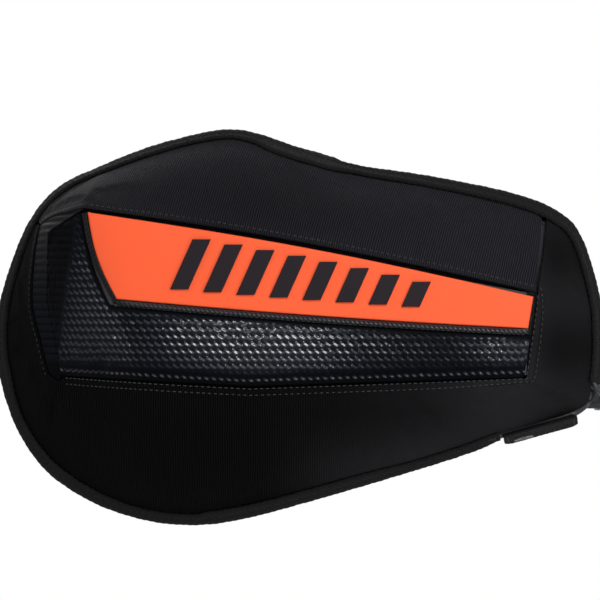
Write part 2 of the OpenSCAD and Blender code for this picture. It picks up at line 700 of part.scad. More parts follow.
module clamp_screw_lower() {
  clamp_screw(-screw_z);
}

module clamp_washer(z) {
  color("#8d8f94") translate([0, ear_y, z]) rotate([-90, 0, 0]) difference() {
    cylinder(d = screw_d * 1.8, h = washer_t);
    translate([0, 0, -1]) cylinder(d = screw_d + 0.4, h = washer_t + 2);
  }
}

module washer_upper() {
  clamp_washer(screw_z);
}

module washer_lower() {
  clamp_washer(-screw_z);
}

module leg_clamp_plate() {
  color("#2a2c30") difference() {
    along_bar(clamp_w) polygon([
      [leg_front, leg_z - leg_cut], [-4, leg_z - leg_cut], [-4, leg_z - leg_plate_t + 2],
      [-6, leg_z - leg_plate_t], [leg_front + 2, leg_z - leg_plate_t],
      [leg_front, leg_z - leg_plate_t + 2]
    ]);
    leg_bores();
    for (y = leg_screw_y) translate([0, y, leg_z - 20]) cylinder(d = leg_screw_d + 0.5, h = 40);
    for (y = leg_screw_y) translate([0, y, leg_z - leg_plate_t - 1])
      cylinder(d = leg_screw_d * 1.6 + 0.6, h = 3.5 + head_sink);
  }
}

module leg_screw(y) {
  color("#77797d") translate([0, y, leg_z + 8.5]) rotate([180, 0, 0])
    cap_screw(leg_screw_d, leg_plate_t + 6 - head_sink, leg_screw_d * 1.6);
}

module leg_screw_front() {
  leg_screw(leg_screw_y[0]);
}

module leg_screw_rear() {
  leg_screw(leg_screw_y[1]);
}

module leg_bushing(x) {
  color("#18181a") translate([x, leg_front - 1, leg_z]) rotate([-90, 0, 0]) difference() {
    union() {
      cylinder(r = sleeve_r, h = leg_depth + 1);
      cylinder(r = sleeve_r + 1.2, h = 1);
    }
    translate([0, 0, -1]) cylinder(r = wire_r + 0.05, h = leg_depth + 4);
  }
}

module leg_bushing_inner() {
  leg_bushing(leg_x);
}

module leg_bushing_outer() {
  leg_bushing(-leg_x);
}

upper_panel();
lower_panel();
embossed_panel();
accent_panel();
accent_bars();
accent_lip();
band_foam();
inner_lining();
edge_binding();
frame_wire();
closure_tab();
tab_base();
snap_cap();
snap_socket();
snap_stud();
snap_post();
bar_clamp_body();
bar_clamp_cap();
clamp_screw_upper();
clamp_screw_lower();
washer_upper();
washer_lower();
leg_clamp_plate();
leg_screw_front();
leg_screw_rear();
leg_bushing_inner();
leg_bushing_outer();
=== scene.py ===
import math

import bmesh
import bpy
import numpy as np
from mathutils import Matrix, Vector


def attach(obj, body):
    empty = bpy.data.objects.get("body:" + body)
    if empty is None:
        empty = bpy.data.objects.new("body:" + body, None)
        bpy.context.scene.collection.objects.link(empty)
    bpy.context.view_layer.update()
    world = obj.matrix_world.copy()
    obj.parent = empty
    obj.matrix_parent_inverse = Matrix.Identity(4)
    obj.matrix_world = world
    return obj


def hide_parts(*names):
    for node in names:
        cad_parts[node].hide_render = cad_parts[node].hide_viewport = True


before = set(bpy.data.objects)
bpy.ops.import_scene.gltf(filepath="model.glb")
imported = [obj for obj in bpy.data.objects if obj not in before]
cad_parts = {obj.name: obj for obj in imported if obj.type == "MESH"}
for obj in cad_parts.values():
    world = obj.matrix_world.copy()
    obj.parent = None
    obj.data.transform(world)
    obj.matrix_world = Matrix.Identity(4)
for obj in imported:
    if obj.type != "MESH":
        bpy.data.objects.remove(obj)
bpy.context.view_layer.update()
scene = bpy.context.scene
scene.view_settings.view_transform = "Standard"
mm = 0.001


# Shape of the shell, in millimetres. It repeats the model's sizes, apart from the outline of the
# band and the plate, which is drawn closer to the real part here.
shell = {
    "reach": 110, "wrapRadius": 700, "wrapCentre": -170, "riseRadius": 400, "riseCentre": 25,
    "turnAngle": 40, "creaseWidth": 5, "creaseBack": 2, "creaseLean": 0.35,
    "crown": 4.5, "crownOuter": 22, "crownInner": 12, "seamDrop": 0.3, "rimInset": 3.8,
    "sideTurn": 60, "faceShare": 0.28, "topBow": 3.1, "fabric": 1.2, "lining": 2.0, "foam": 6.0,
    "foamGap": 0.25, "layerGap": 0.15, "lipGap": 3.4, "wire": 2.5, "tape": 1.1, "tapeWidth": 5.5,
    "tapeGap": 0.22,
}
bandCorners = np.array([   # x, z
    (-305.5, 64.8), (-285.5, 77.4), (-37.2, 30.8), (-44.2, -15.2),
    (-194.7, -19.8), (-298.5, -14.3), (-306.5, 27.5)])
rimRows = np.array([   # band position, x, z, y, roundness
    (0, -316.3, 73, -36, 0.35), (0.55, -299.8, 91, -42, 0.5),
    (1.06, -274.5, 102.9, -50, 0.7), (1.19, -241.5, 114.4, -56, 0.8),
    (1.34, -203, 121, -58, 0.8), (1.47, -167.2, 111.1, -60, 0.8),
    (1.6, -134.2, 101.6, -62, 0.8), (1.75, -95.7, 95.2, -65, 0.8),
    (1.93, -51.7, 85.8, -67, 0.8), (2.02, -26.4, 75.9, -67, 0.75),
    (2.12, -12.6, 61.5, -65, 0.7), (2.36, -2.5, 28, -62, 0.6),
    (2.62, -0.7, 0, -61, 0.6), (2.88, -3.2, -21, -61, 0.6),
    (3.03, -8.6, -33.8, -63, 0.6), (3.12, -33, -42.6, -67, 0.6),
    (3.22, -57.2, -50, -69, 0.7), (3.36, -87.5, -60.5, -70, 0.8),
    (3.72, -150.7, -79.2, -69, 0.8), (4.06, -200.2, -92.2, -65, 0.8),
    (4.32, -230.5, -95.2, -61, 0.8), (4.56, -258, -91.3, -55, 0.7),
    (4.8, -283.8, -81.4, -47, 0.6), (4.97, -307.5, -64.9, -38, 0.45),
    (5.25, -324, -41.3, -29, 0.3), (5.65, -333.6, -11, -23, 0.2),
    (6, -334.8, 16.5, -23, 0.2), (6.45, -328, 45.1, -28, 0.25)])
plate = {"outLow": (-267.3, 28.0), "inLow": (-42.7, 12.0), "inTop": (-39.8, 29.3),
         "outTop": (-283.2, 75.4), "sideBow": 2.8, "sag": 1.3, "proud": 1.3}
rimCount = len(rimRows)
rimStops = np.append(rimRows[:, 0], 7.0)
rimPoints = rimRows[:, [1, 3, 2, 4]]
rimSpans = np.diff(rimStops)
rimSlopes = 2 / (rimSpans + np.roll(rimSpans, 1))


def blend(a, b, t):
    return a + (b - a) * t


def smooth(t):
    k = np.clip(t, 0, 1)
    return k * k * (3 - 2 * k)


def window(x, low, rise, high, fall):   # 0 outside low and high, 1 well inside
    return smooth((x - low) / rise) * smooth((high - x) / fall)


def bell(x, width):
    return np.exp(-(x / width)**2)


def merge(*parts):
    return np.stack(parts, -1)


def unit(v):
    return v / np.maximum(np.linalg.norm(v, axis=-1, keepdims=True), 1e-12)


def runLengths(points):
    return np.concatenate([[0], np.cumsum(np.linalg.norm(np.diff(points, axis=0), axis=1))])


def rimOutline(c):
    w = np.mod(c, 7.0)
    i = np.clip(np.searchsorted(rimStops, w, side="right") - 1, 0, rimCount - 1)
    span = rimSpans[i]
    t = (w - rimStops[i]) / span
    rise = span * rimSlopes[i]
    fall = span * rimSlopes[(i + 1) % rimCount]
    u = 3 * t**2 - 2 * t**3 + (t**3 - 2 * t**2 + t) * rise + (t**3 - t**2) * fall
    k = (i + np.floor(u).astype(int)) % rimCount
    u = (u - np.floor(u))[..., None]
    a, b, d, e = (rimPoints[(k + n) % rimCount] for n in (-1, 0, 1, 2))
    return 0.5 * (2 * b + (d - a) * u + (2 * a - 5 * b + 4 * d - e) * u**2
                  + (3 * b - a - 3 * d + e) * u**3)


def rimEdge(c):
    p = rimOutline(c).copy()
    d = rimOutline(c + 0.006) - rimOutline(c - 0.006)
    size = np.hypot(d[..., 0], d[..., 2])
    p[..., 0] += d[..., 2] / size * shell["rimInset"]
    p[..., 2] -= d[..., 0] / size * shell["rimInset"]
    return p


def bandEdge(c):
    w = np.mod(c, 7.0)
    i = np.floor(w).astype(int) % 7
    t = w - np.floor(w)
    p = blend(bandCorners[i], bandCorners[(i + 1) % 7], t[..., None])
    p[..., 1] += np.where(i == 1, shell["topBow"] * np.sin(np.pi * t), 0)
    return p


def plateLow(x):
    t = (x - plate["outLow"][0]) / (plate["inLow"][0] - plate["outLow"][0])
    return blend(plate["outLow"][1], plate["inLow"][1], t) - plate["sag"] * 4 * t * (1 - t)


def plateTop(x):
    t = (x - plate["outTop"][0]) / (plate["inTop"][0] - plate["outTop"][0])
    bow = shell["topBow"] * np.sin(np.pi * np.clip(t, 0, 1))
    return blend(plate["outTop"][1], plate["inTop"][1], t) + bow


def sideBow(k):   # the outer edge of the plate bows outwards
    return plate["sideBow"] * np.sin(np.pi * np.clip(k, 0, 1))[:, None] * np.array([-0.94, -0.35])


def bandLow(x):
    return np.interp(x, bandCorners[[5, 4, 3], 0], bandCorners[[5, 4, 3], 1])


def creaseX(z):
    return plate["outLow"][0] - shell["creaseBack"] + (plate["outLow"][1] - z) * shell["creaseLean"]


def baseY(x, z):
    turn = np.logaddexp(0, (creaseX(z) - x) / shell["creaseWidth"])
    return (-shell["reach"] + (x - shell["wrapCentre"])**2 / (2 * shell["wrapRadius"])
            + (z - shell["riseCentre"])**2 / (2 * shell["riseRadius"])
            + math.tan(math.radians(shell["turnAngle"])) * shell["creaseWidth"] * turn)


def crownOf(x, z):
    v = np.clip((z - bandLow(x)) / (plateLow(x) - bandLow(x)), 0, 1)
    ends = window(x, creaseX(z) - 2, shell["crownOuter"], bandCorners[3, 0], shell["crownInner"])
    return shell["crown"] * ends * (1 - np.abs(2 * v - 1)**3)


def bandPoint(x, z, lift=0.0):
    return merge(x, baseY(x, z) - crownOf(x, z) - lift, z)


def bandNormal(x, z):
    a = bandPoint(x + 0.3, z) - bandPoint(x - 0.3, z)
    b = bandPoint(x, z + 0.3) - bandPoint(x, z - 0.3)
    return unit(np.cross(a, b))


def wallPoint(c, s):
    b = bandEdge(c)
    o = rimEdge(c)
    top = math.radians(shell["sideTurn"])
    g = blend(s, np.sin(top * s) / math.sin(top), o[..., 3])
    f = blend(s, (1 - np.cos(top * s)) / (1 - math.cos(top)), o[..., 3])
    y = baseY(b[..., 0], b[..., 1]) + shell["seamDrop"]
    return merge(blend(b[..., 0], o[..., 0], g), blend(y, o[..., 1], f), blend(b[..., 1], o[..., 2], g))


def wallAlong(c, s):
    return wallPoint(c + 0.004, s) - wallPoint(c - 0.004, s)


def wallOut(c, s):
    return wallPoint(c, np.minimum(s + 0.01, 1)) - wallPoint(c, np.maximum(s - 0.01, 0))


def wallNormal(c, s):
    return unit(np.cross(wallAlong(c, s), wallOut(c, s)))


def layerNormal(c, s):
    k = smooth(s / shell["faceShare"])[..., None]
    return unit(blend(np.array([0.0, -1.0, 0.0]), wallNormal(c, s), k))


def wallSpan(c, share):   # millimetres from seam to rim, as measured at this share of the way
    s = np.full_like(c, share)
    return np.linalg.norm(wallOut(c, s), axis=-1) / (np.minimum(s + 0.01, 1) - np.maximum(s - 0.01, 0))


def rimFrame(c, out, up):
    s = np.ones_like(c)
    n = wallNormal(c, s)
    e = unit(np.cross(n, unit(wallAlong(c, s))))
    return wallPoint(c, s) + e * out[..., None] + n * up[..., None]


print("shell shape ready")


# Shader helper: one wrapped socket, with sums written as plain expressions.
class Link:
    def __init__(self, tree, socket=None):
        self.tree = tree
        self.socket = socket

    def add(self, kind, settings=None, sockets=None, output=0):
        node = self.tree.nodes.new("ShaderNode" + kind)
        for name, value in (settings or {}).items():
            setattr(node, name, value)
        for key, value in (sockets or {}).items():
            if isinstance(value, Link):
                self.tree.links.new(value.socket, node.inputs[key])
            else:
                node.inputs[key].default_value = value
        return Link(self.tree, node.outputs[output] if node.outputs else None)

    def out(self, name):   # another output of the same node
        return Link(self.tree, self.socket.node.outputs[name])

    def calc(self, operation, *values):
        return self.add("Math", {"operation": operation}, dict(enumerate(values)))

    def __add__(self, other):
        return self.calc("ADD", self, other)

    def __sub__(self, other):
        return self.calc("SUBTRACT", self, other)

    def __rsub__(self, other):
        return self.calc("SUBTRACT", other, self)

    def __mul__(self, other):
        return self.calc("MULTIPLY", self, other)

    __radd__ = __add__
    __rmul__ = __mul__

    def mix(self, low, high):   # this value chooses between two colours
        return self.add("Mix", {"data_type": "RGBA"}, {0: self, 6: low, 7: high}, 2)

    def ramp(self, low, high):   # 0 below low, 1 above high
        return self.add("MapRange", {"interpolation_type": "SMOOTHSTEP"},
                        {"Value": self, 1: low, 2: high})

    def noise(self, scale, detail=3.0, roughness=0.55):   # this value is the place
        return self.add("TexNoise", None, {
            "Vector": self, "Scale": scale, "Detail": detail, "Roughness": roughness})

    def bump(self, strength, relief, height):
        return self.add("Bump", None, {"Strength": strength, "Distance": relief * mm, "Height": height})


def newMaterial(name):
    material = bpy.data.materials.new(name)
    material.use_nodes = True
    material.node_tree.nodes.clear()
    return material, Link(material.node_tree)


def finishMaterial(tree, surface):
    tree.add("OutputMaterial", None, {"Surface": surface})


def tint(colour, factor):
    return tuple(min(1.0, v * factor) for v in colour) + (1.0,)


fabricLook = {"lean": 0.0, "contrast": 0.5, "deep": 0.35, "lit": 1.25, "worn": (1.0, 1.1), "relief": 0.25}


def fabricMaterial(name, **values):
    look = {**fabricLook, **values}
    material, tree = newMaterial(name)
    across = tree.add("SeparateXYZ", None, {0: tree.add("UVMap", {"uv_map": "flat"})})
    along = across.out(1)
    place = tree.add("TexCoord", None, None, 3)
    side = tree.add("SeparateXYZ", None, {0: place})
    wave = 2 * math.pi / (look["pitch"] * mm)
    wobble = (place.noise(90.0) - 0.5) * look["wobble"]
    ribs = tree.calc("SINE", (across + along * look["lean"] + wobble) * wave) * 0.5 + 0.5
    threads = tree.calc("SINE", along * (wave / 0.8)) * 0.5 + 0.5
    grain = place.noise(2600.0, 2.0)
    cloudy = place.noise(28.0, 4.0)
    worn = side.ramp(*look["worn"]) * 0.8   # the ribs lie flatter towards the inner end
    ribs = ribs * (1 - worn) + worn * 0.5
    height = ribs + threads * look["weft"] + grain * 0.5
    # painted light and shade on the ribs: the crests are coloured lighter and the grooves darker, on top of
    # their bump
    light = (ribs * look["contrast"] + (1 - look["contrast"])) * (cloudy * 0.3 + 0.85)
    if "fade" in look:   # painted shade: darker towards the outer end
        light = light * (side.ramp(*look["fade"]) * (1 - look["fadeTo"]) + look["fadeTo"])
        # the attribute holds painted light and shade: soft lighter and darker fields where light falls
        # unevenly over the cloth
        light = light * tree.add("Attribute", {"attribute_name": "paintedLight"}, None, 2)
    colour = light.mix(tint(look["colour"], look["deep"]), tint(look["colour"], look["lit"]))
    bump = tree.bump(look["bump"], look["relief"], height)
    finishMaterial(tree, tree.add("BsdfPrincipled", None, {
        "Base Color": colour, "Roughness": cloudy * 0.1 + look["roughness"], "Normal": bump,
        "Sheen Weight": look["sheen"], "Sheen Roughness": 0.5, "Specular IOR Level": look["specular"]}))
    return material


gripLook = {"cloud": 40.0, "grain": 1800.0, "scuff": 0.1, "low": 0.85, "high": 1.15, "bump": 0.25,
            "relief": 0.08, "metal": 0.0, "specular": 0.5}


def gripMaterial(name, **values):   # smooth, slightly grained plastics, rubbers, threads and metals
    look = {**gripLook, **values}
    material, tree = newMaterial(name)
    place = tree.add("TexCoord", None, None, 3)
    cloudy = place.noise(look["cloud"], 4.0)
    grain = place.noise(look["grain"], 2.0)
    scuffs = place.noise(320.0, 6.0, 0.7).ramp(0.62, 0.8)
    colour = (cloudy * 0.5 + 0.25 + scuffs * look["scuff"]).mix(
        tint(look["colour"], look["low"]), tint(look["colour"], look["high"]))
    rough = look["roughness"] + (cloudy - 0.5) * 0.12 + scuffs * 0.1
    bump = tree.bump(look["bump"], look["relief"], grain)
    finishMaterial(tree, tree.add("BsdfPrincipled", None, {
        "Base Color": colour, "Roughness": rough, "Metallic": look["metal"], "Normal": bump,
        "Specular IOR Level": look["specular"]}))
    return material


vinylLook = {"low": (0.0008, 0.0008, 0.0011, 1), "roughness": 0.3, "coatRoughness": 0.17, "coatIor": 1.62}


def vinylMaterial(name, high, specular):   # the attribute carries painted light and shade: painted shade darkens the notches and the plain margins, painted glints lighten ramps and beads; it also sets the coat and roughness
    material, tree = newMaterial(name)
    place = tree.add("TexCoord", None, None, 3)
    paintedLight = tree.add("Attribute", {"attribute_name": "paintedLight"}, None, 2)
    cloudy = place.noise(30.0, 4.0)
    grain = place.noise(2200.0, 2.0)
    colour = (paintedLight * (cloudy * 0.8 + 1.6)).mix(vinylLook["low"], high + (1,))
    rough = 1 - (1 - vinylLook["roughness"]) * (paintedLight * 0.45 + 0.55) + (cloudy - 0.5) * 0.14
    bump = tree.bump(0.3, 0.05, grain)
    finishMaterial(tree, tree.add("BsdfPrincipled", None, {
        "Base Color": colour, "Roughness": rough, "Normal": bump, "Specular IOR Level": specular,
        "Coat Weight": paintedLight.ramp(0.12, 0.9), "Coat Roughness": vinylLook["coatRoughness"],
        "Coat IOR": vinylLook["coatIor"]}))
    return material


upperCloth = fabricMaterial(
    "upperRibbedFabric", colour=(0.0118, 0.0112, 0.0142), pitch=1.3, lean=-0.2, fade=(-0.32, -0.25),
    fadeTo=0.45, deep=0.05, lit=1.7, wobble=0.0012, weft=0.2, contrast=0.9, bump=1.0, relief=0.35,
    roughness=0.72, sheen=0.01, specular=0.05)
lowerCloth = fabricMaterial(
    "lowerRibbedFabric", colour=(0.0138, 0.0134, 0.0148), pitch=1.3, fade=(-0.2, -0.05), fadeTo=0.17,
    worn=(-0.2, -0.11), deep=0.03, lit=1.7, wobble=0.0012, weft=0.25, contrast=0.85, bump=0.9,
    relief=0.3, roughness=0.6, sheen=0.002, specular=0.012)
liningCloth = fabricMaterial(
    "liningKnit", colour=(0.036, 0.036, 0.041), pitch=1.6, wobble=0.0006, weft=0.9, bump=0.6,
    roughness=0.85, sheen=0.05, specular=0.1)
tapeCloth = fabricMaterial(
    "bindingTape", colour=(0.0075, 0.0075, 0.0080), pitch=0.9, wobble=0.0003, weft=0.6, bump=0.8,
    roughness=0.7, sheen=0.02, specular=0.06)
tabCloth = fabricMaterial(
    "tabFabric", colour=(0.008, 0.008, 0.009), pitch=1.1, wobble=0.0004, weft=0.6, bump=0.7,
    roughness=0.68, sheen=0.004, specular=0.03)
vinylSkin = vinylMaterial("embossedVinyl", (0.0095, 0.0115, 0.0185), 0.03)
lipSkin = vinylMaterial("rolledVinyl", (0.0120, 0.0115, 0.0150), 0.1)
orangeSkin = gripMaterial(
    "orangeRubber", colour=(0.89, 0.113, 0.038), roughness=0.5, low=0.96, high=1.03, scuff=0.05,
    bump=0.15, relief=0.04, specular=0.12, cloud=12.0)
reliefSkin = gripMaterial(
    "darkReliefRubber", colour=(0.0175, 0.0135, 0.0160), roughness=0.55, specular=0.06, relief=0.06)
threadSkin = gripMaterial(
    "sewingThread", colour=(0.028, 0.028, 0.031), roughness=0.5, specular=0.15, grain=4000.0,
    bump=0.5, relief=0.06, cloud=300.0, low=0.6, high=1.5)
tapeThreadSkin = gripMaterial(
    "bindingThread", colour=(0.032, 0.031, 0.034), roughness=0.5, specular=0.2, grain=4000.0,
    bump=0.5, relief=0.06, cloud=300.0, low=0.4, high=1.8)
wireSkin = gripMaterial("coatedWire", colour=(0.012, 0.013, 0.016), roughness=0.34, relief=0.05)
clampSkin = gripMaterial(
    "anodisedClamp", colour=(0.024, 0.025, 0.028), roughness=0.42, metal=0.6, relief=0.06, grain=2600.0)
steelSkin = gripMaterial("screwSteel", colour=(0.42, 0.42, 0.43), roughness=0.32, metal=1.0, relief=0.04)
nickelSkin = gripMaterial("darkStud", colour=(0.034, 0.032, 0.030), roughness=0.3, metal=1.0, relief=0.03)
rubberSkin = gripMaterial("bushingRubber", colour=(0.010, 0.010, 0.011), roughness=0.7)
foamSkin = gripMaterial("bandPadding", colour=(0.05, 0.05, 0.052), roughness=0.9, relief=0.3, grain=900.0)
print("materials ready")


# Mesh helpers
def linkPiece(name, data):
    piece = bpy.data.objects.new(name, data)
    scene.collection.objects.link(piece)
    return piece


def meshFrom(name, bm):
    mesh = bpy.data.meshes.new(name)
    bm.to_mesh(mesh)
    bm.free()
    return mesh


def join(target, bm):   # adds one mesh under construction to another
    part = meshFrom("part", bm)
    target.from_mesh(part)
    bpy.data.meshes.remove(part)


def addPiece(name, mesh, material, smoothShade=True):
    mesh.polygons.foreach_set("use_smooth", [smoothShade] * len(mesh.polygons))
    mesh.materials.append(material)
    piece = linkPiece(name, mesh)
    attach(piece, "root")
    return piece


def settle(node):
    if node:
        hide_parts(node)


def gridSheet(columns, rows, place):
    # A flat grid whose points are moved to their place on the shell. The place function gives the
    # points and their flat cloth coordinates, and may give more.
    bm = bmesh.new()
    bmesh.ops.create_grid(bm, x_segments=columns, y_segments=rows, size=0.5)
    spots = np.array([v.co[:2] for v in bm.verts]) + 0.5
    points, flat, *more = place(spots[:, 0], spots[:, 1])
    for v, p in zip(bm.verts, points * mm):
        v.co = p
    return bm, flat * mm, more


def setFlat(piece, flat):
    # Flat fabric coordinates as a UV map, in metres of cloth.
    mesh = piece.data
    corner = np.zeros(len(mesh.loops), dtype=np.int32)
    mesh.loops.foreach_get("vertex_index", corner)
    layer = mesh.uv_layers.new(name="flat")
    layer.data.foreach_set("uv", flat[corner % len(flat)].astype(np.float32).ravel())


def thicken(piece, thickness):
    wall = piece.modifiers.new("thickness", "SOLIDIFY")
    wall.thickness = thickness * mm
    wall.offset = -1
    wall.use_even_offset = False


def makeSheet(name, node, material, thickness, columns, rows, place):
    bm, flat, paintedLight = gridSheet(columns, rows, place)
    piece = addPiece(name, meshFrom(name, bm), material)
    setFlat(piece, flat)
    # the attribute carries the piece's painted light and shade
    if paintedLight:
        layer = piece.data.attributes.new("paintedLight", "FLOAT", "POINT")
        layer.data.foreach_set("value", paintedLight[0].astype(np.float32))
    thicken(piece, thickness)
    settle(node)
    return piece, flat


def flatWall(c, point):
    # Cloth coordinates on the side wall: the depth is laid out along the outward direction.
    b = bandEdge(c)
    o = rimEdge(c)
    x, y, z = point.T
    out = unit(merge(o[..., 0] - b[..., 0], o[..., 2] - b[..., 1]))
    lean = 0.35 * smooth((x + 65) / 50) - 0.35 * smooth((-262 - x) / 50)
    out[:, 0] = np.where(np.mod(c, 7) < 2, lean, out[:, 0])
    depth = (y - baseY(b[..., 0], b[..., 1]) - shell["seamDrop"]) * 0.75
    return merge(x + out[:, 0] * depth, z + out[:, 1] * depth)


def dent(distance, depth, width):
    return -depth * bell(distance, width)


def ripple(x, z, size, seed):
    # Gentle uneven relief made from a few crossing waves.
    total = np.zeros_like(x)
    for k in range(5):
        angle = seed * 1.7 + k * 2.4
        length = size * (0.7 + 0.31 * k)
        across = (x * math.cos(angle) + z * math.sin(angle)) * 2 * math.pi / length
        total += np.sin(across + seed * 3.1 + k) / (1.5 + k)
    return total / 2.2


def softSpot(x, z, x0, z0, wide, tall):   # 1 at its centre, falling off softly
    return bell(x - x0, wide) * bell(z - z0, tall)


# Cloth simulation: a coarse copy of a piece, pinned at its seams, swells under its padding.
# Its movement, capped, is the gentle relief of the finished piece.
cloths = {"frames": 18, "mass": 0.25, "tension": 14, "bend": 0.6}


def clothLift(name, place, columns, rows, look):
    bm, _, (u, w) = gridSheet(columns, rows, lambda u, w: (*place(u, w), u, w))
    mesh = meshFrom(name, bm)
    rest, normal, after = (np.zeros(len(mesh.vertices) * 3) for _ in range(3))
    mesh.vertices.foreach_get("co", rest)
    mesh.vertices.foreach_get("normal", normal)
    rest, normal = rest.reshape(-1, 3), normal.reshape(-1, 3)
    outward = -1.0 if normal[:, 1].mean() > 0 else 1.0
    piece = linkPiece(name, mesh)
    seam = piece.vertex_groups.new(name="seam")
    border = np.minimum(np.minimum(u, 1 - u), np.minimum(w, 1 - w)) < 0.001
    seam.add(np.nonzero(border)[0].tolist(), 1.0, "REPLACE")
    cloth = piece.modifiers.new("cloth", "CLOTH")
    values = cloth.settings
    values.vertex_group_mass = "seam"
    values.mass = cloths["mass"]
    values.tension_stiffness = values.compression_stiffness = cloths["tension"]
    values.bending_stiffness = cloths["bend"]
    values.shrink_min = -look["grow"]
    values.use_pressure = True
    values.uniform_pressure_force = look["pressure"] * outward
    values.effector_weights.gravity = 0
    cloth.collision_settings.use_collision = False
    cloth.point_cache.frame_end = cloths["frames"]
    for step in range(1, cloths["frames"] + 1):
        scene.frame_set(step)
    moved = piece.evaluated_get(bpy.context.evaluated_depsgraph_get())
    moved.to_mesh().vertices.foreach_get("co", after)
    move = np.einsum("ij,ij->i", after.reshape(-1, 3) - rest, normal) * outward / mm
    bpy.data.objects.remove(piece)
    bpy.data.meshes.remove(mesh)
    scene.frame_set(1)
    print(name, "simulated, moved", round(float(move.min()), 2), "to", round(float(move.max()), 2), "mm")
    move = np.clip(move, -look["cap"], look["cap"])
    table = move[np.lexsort((w, u))].reshape(columns + 1, rows + 1)

    def lift(a, b):
        a, b = np.clip(a, 0, 1) * columns, np.clip(b, 0, 1) * rows
        i, j = np.minimum(a.astype(int), columns - 1), np.minimum(b.astype(int), rows - 1)
        s, t = smooth(a - i), smooth(b - j)
        return blend(blend(table[i, j], table[i + 1, j], s),
                     blend(table[i, j + 1], table[i + 1, j + 1], s), t)

    return lift


# Fabric panels
panels = {
    "upperColumns": 420, "lowerColumns": 620, "rows": 56, "seamStart": 0.012, "seamDepth": 0.35,
    "seamWidth": 0.6, "stripHeight": 0.35, "foldDepth": 0.35, "foldWidth": 1.6, "hemWidth": 5.6,
    "waviness": 0.15, "pucker": 0.16, "pressure": 1.5, "grow": 0.012, "cap": 0.6,
}


def seamShare(c):
    # The outer end of the vinyl turns back over the side wall up to this share of it.
    stops = [0, 0.55, 1, 4.98, 5.06, 5.25, 5.65, 6, 6.45, 6.8, 7]
    return np.interp(np.mod(c, 7), stops, [0.6, 0.18, 0, 0, 0.1, 0.24, 0.25, 0.32, 0.42, 0.52, 0.6])


def clothStart(c):   # the cloth begins just beyond the seam
    return seamShare(c) + panels["seamStart"]


def tapeReach(x, z):
    # The front flap of the tape is sewn on unevenly, widest right of the peak.
    high = smooth((z - 60) / 10)
    wide = window(x, -196, 14, -136, 18) * high
    narrow = window(x, -246, 14, -196, 10) * high
    low = smooth((-10 - z) / 25)
    step = smooth((-60 - z) / 10) * smooth((x + 224) / 7)
    return (shell["tapeWidth"] - 1.7 + wide * 4.2 - narrow * 1.4 - low * 2.2 + step * 1.8
            + 0.35 * ripple(x, z, 34.0, 8.0))


# painted light and shade: soft lighter and darker fields over the upper cloth
def upperLightAndShade(x, z):
    return (1 - 0.3 * softSpot(x, z, -186, 80, 60, 20) + 0.35 * softSpot(x, z, -65, 62, 30, 22)
            + 0.4 * softSpot(x, z, -112, 93, 35, 12))


def lowerLightAndShade(x, z):   # painted shade of folds down the wing, and a painted shadow under the band, lighter towards the rim
    wing = smooth((x + 48) / 22) * (0.44 - 0.22 * np.cos((z - 27) * 2 * math.pi / 52))
    under = window(x, -190, 40, -58, 45) * smooth(-z / 8)
    return (1 - wing) * blend(1.0, 0.58 + 1.35 * smooth((-30 - z) / 52), under)


def makePanel(name, node, material, columns, cFrom, cTo, folds):
    seed = folds["seed"]

    def base(u, w):
        c = blend(cFrom, cTo, u)
        p = wallPoint(c, blend(clothStart(c), 1.0, w))
        return p, p[:, [0, 2]]

    swell = clothLift(name + "Cloth", base, columns // 5, 16, panels)

    def place(u, w):
        c = blend(cFrom, cTo, u)
        start = clothStart(c)
        s = blend(start, 1.0, w)
        p = wallPoint(c, s)
        x, z = p[:, 0], p[:, 2]
        fromSeam = (s - start) * wallSpan(c, 0.3)
        along = np.linalg.norm(wallAlong(c, s), axis=-1) / 0.008
        lift = dent(fromSeam, panels["seamDepth"], panels["seamWidth"])
        lift += panels["stripHeight"] * window(fromSeam, 0, 1.5, 6.4, 3)
        hem = smooth((x + 75) / 14) * smooth((38 - z) / 8)
        lift += hem * dent(fromSeam - panels["hemWidth"], 0.9, 1.1)
        for fromEnd in (c - cFrom, cTo - c):
            lift += dent(fromEnd * along, panels["foldDepth"], panels["foldWidth"])
        middle = smooth((fromSeam - 5) / 9) * smooth((1 - s) / 0.25)
        lift += middle * (swell(u, w) + panels["waviness"] * ripple(x, z, 60.0, seed))
        lift += panels["pucker"] * bell(fromSeam - 7, 5) * ripple(x, z * 0.2, 11.0, seed + 0.4)
        for x0, z0, x1, z1, width, height in folds["creases"]:
            dx, dz = x1 - x0, z1 - z0
            size = math.hypot(dx, dz)
            t = ((x - x0) * dx + (z - z0) * dz) / size**2
            side = ((x - x0) * dz - (z - z0) * dx) / size
            lift += height * window(t, 0, 0.35, 1, 0.35) * bell(side, width)
        fromTape = (1 - s) * wallSpan(c, 0.93) - tapeReach(x, z)
        lift += dent(fromTape - 0.5, 0.75, 0.8)
        lift *= smooth((1 - s) / 0.06)
        return p + layerNormal(c, s) * lift[:, None], flatWall(c, p), folds["paintedLight"](x, z)

    piece, flat = makeSheet(name, node, material, shell["fabric"], columns, panels["rows"], place)
    area = sum(f.area for f in piece.data.polygons)
    width, height = (float(v) for v in np.ptp(flat, axis=0))
    print(name, "area", round(area, 5), "flat", round(width, 4), round(height, 4))
    return piece, area, (width, height)


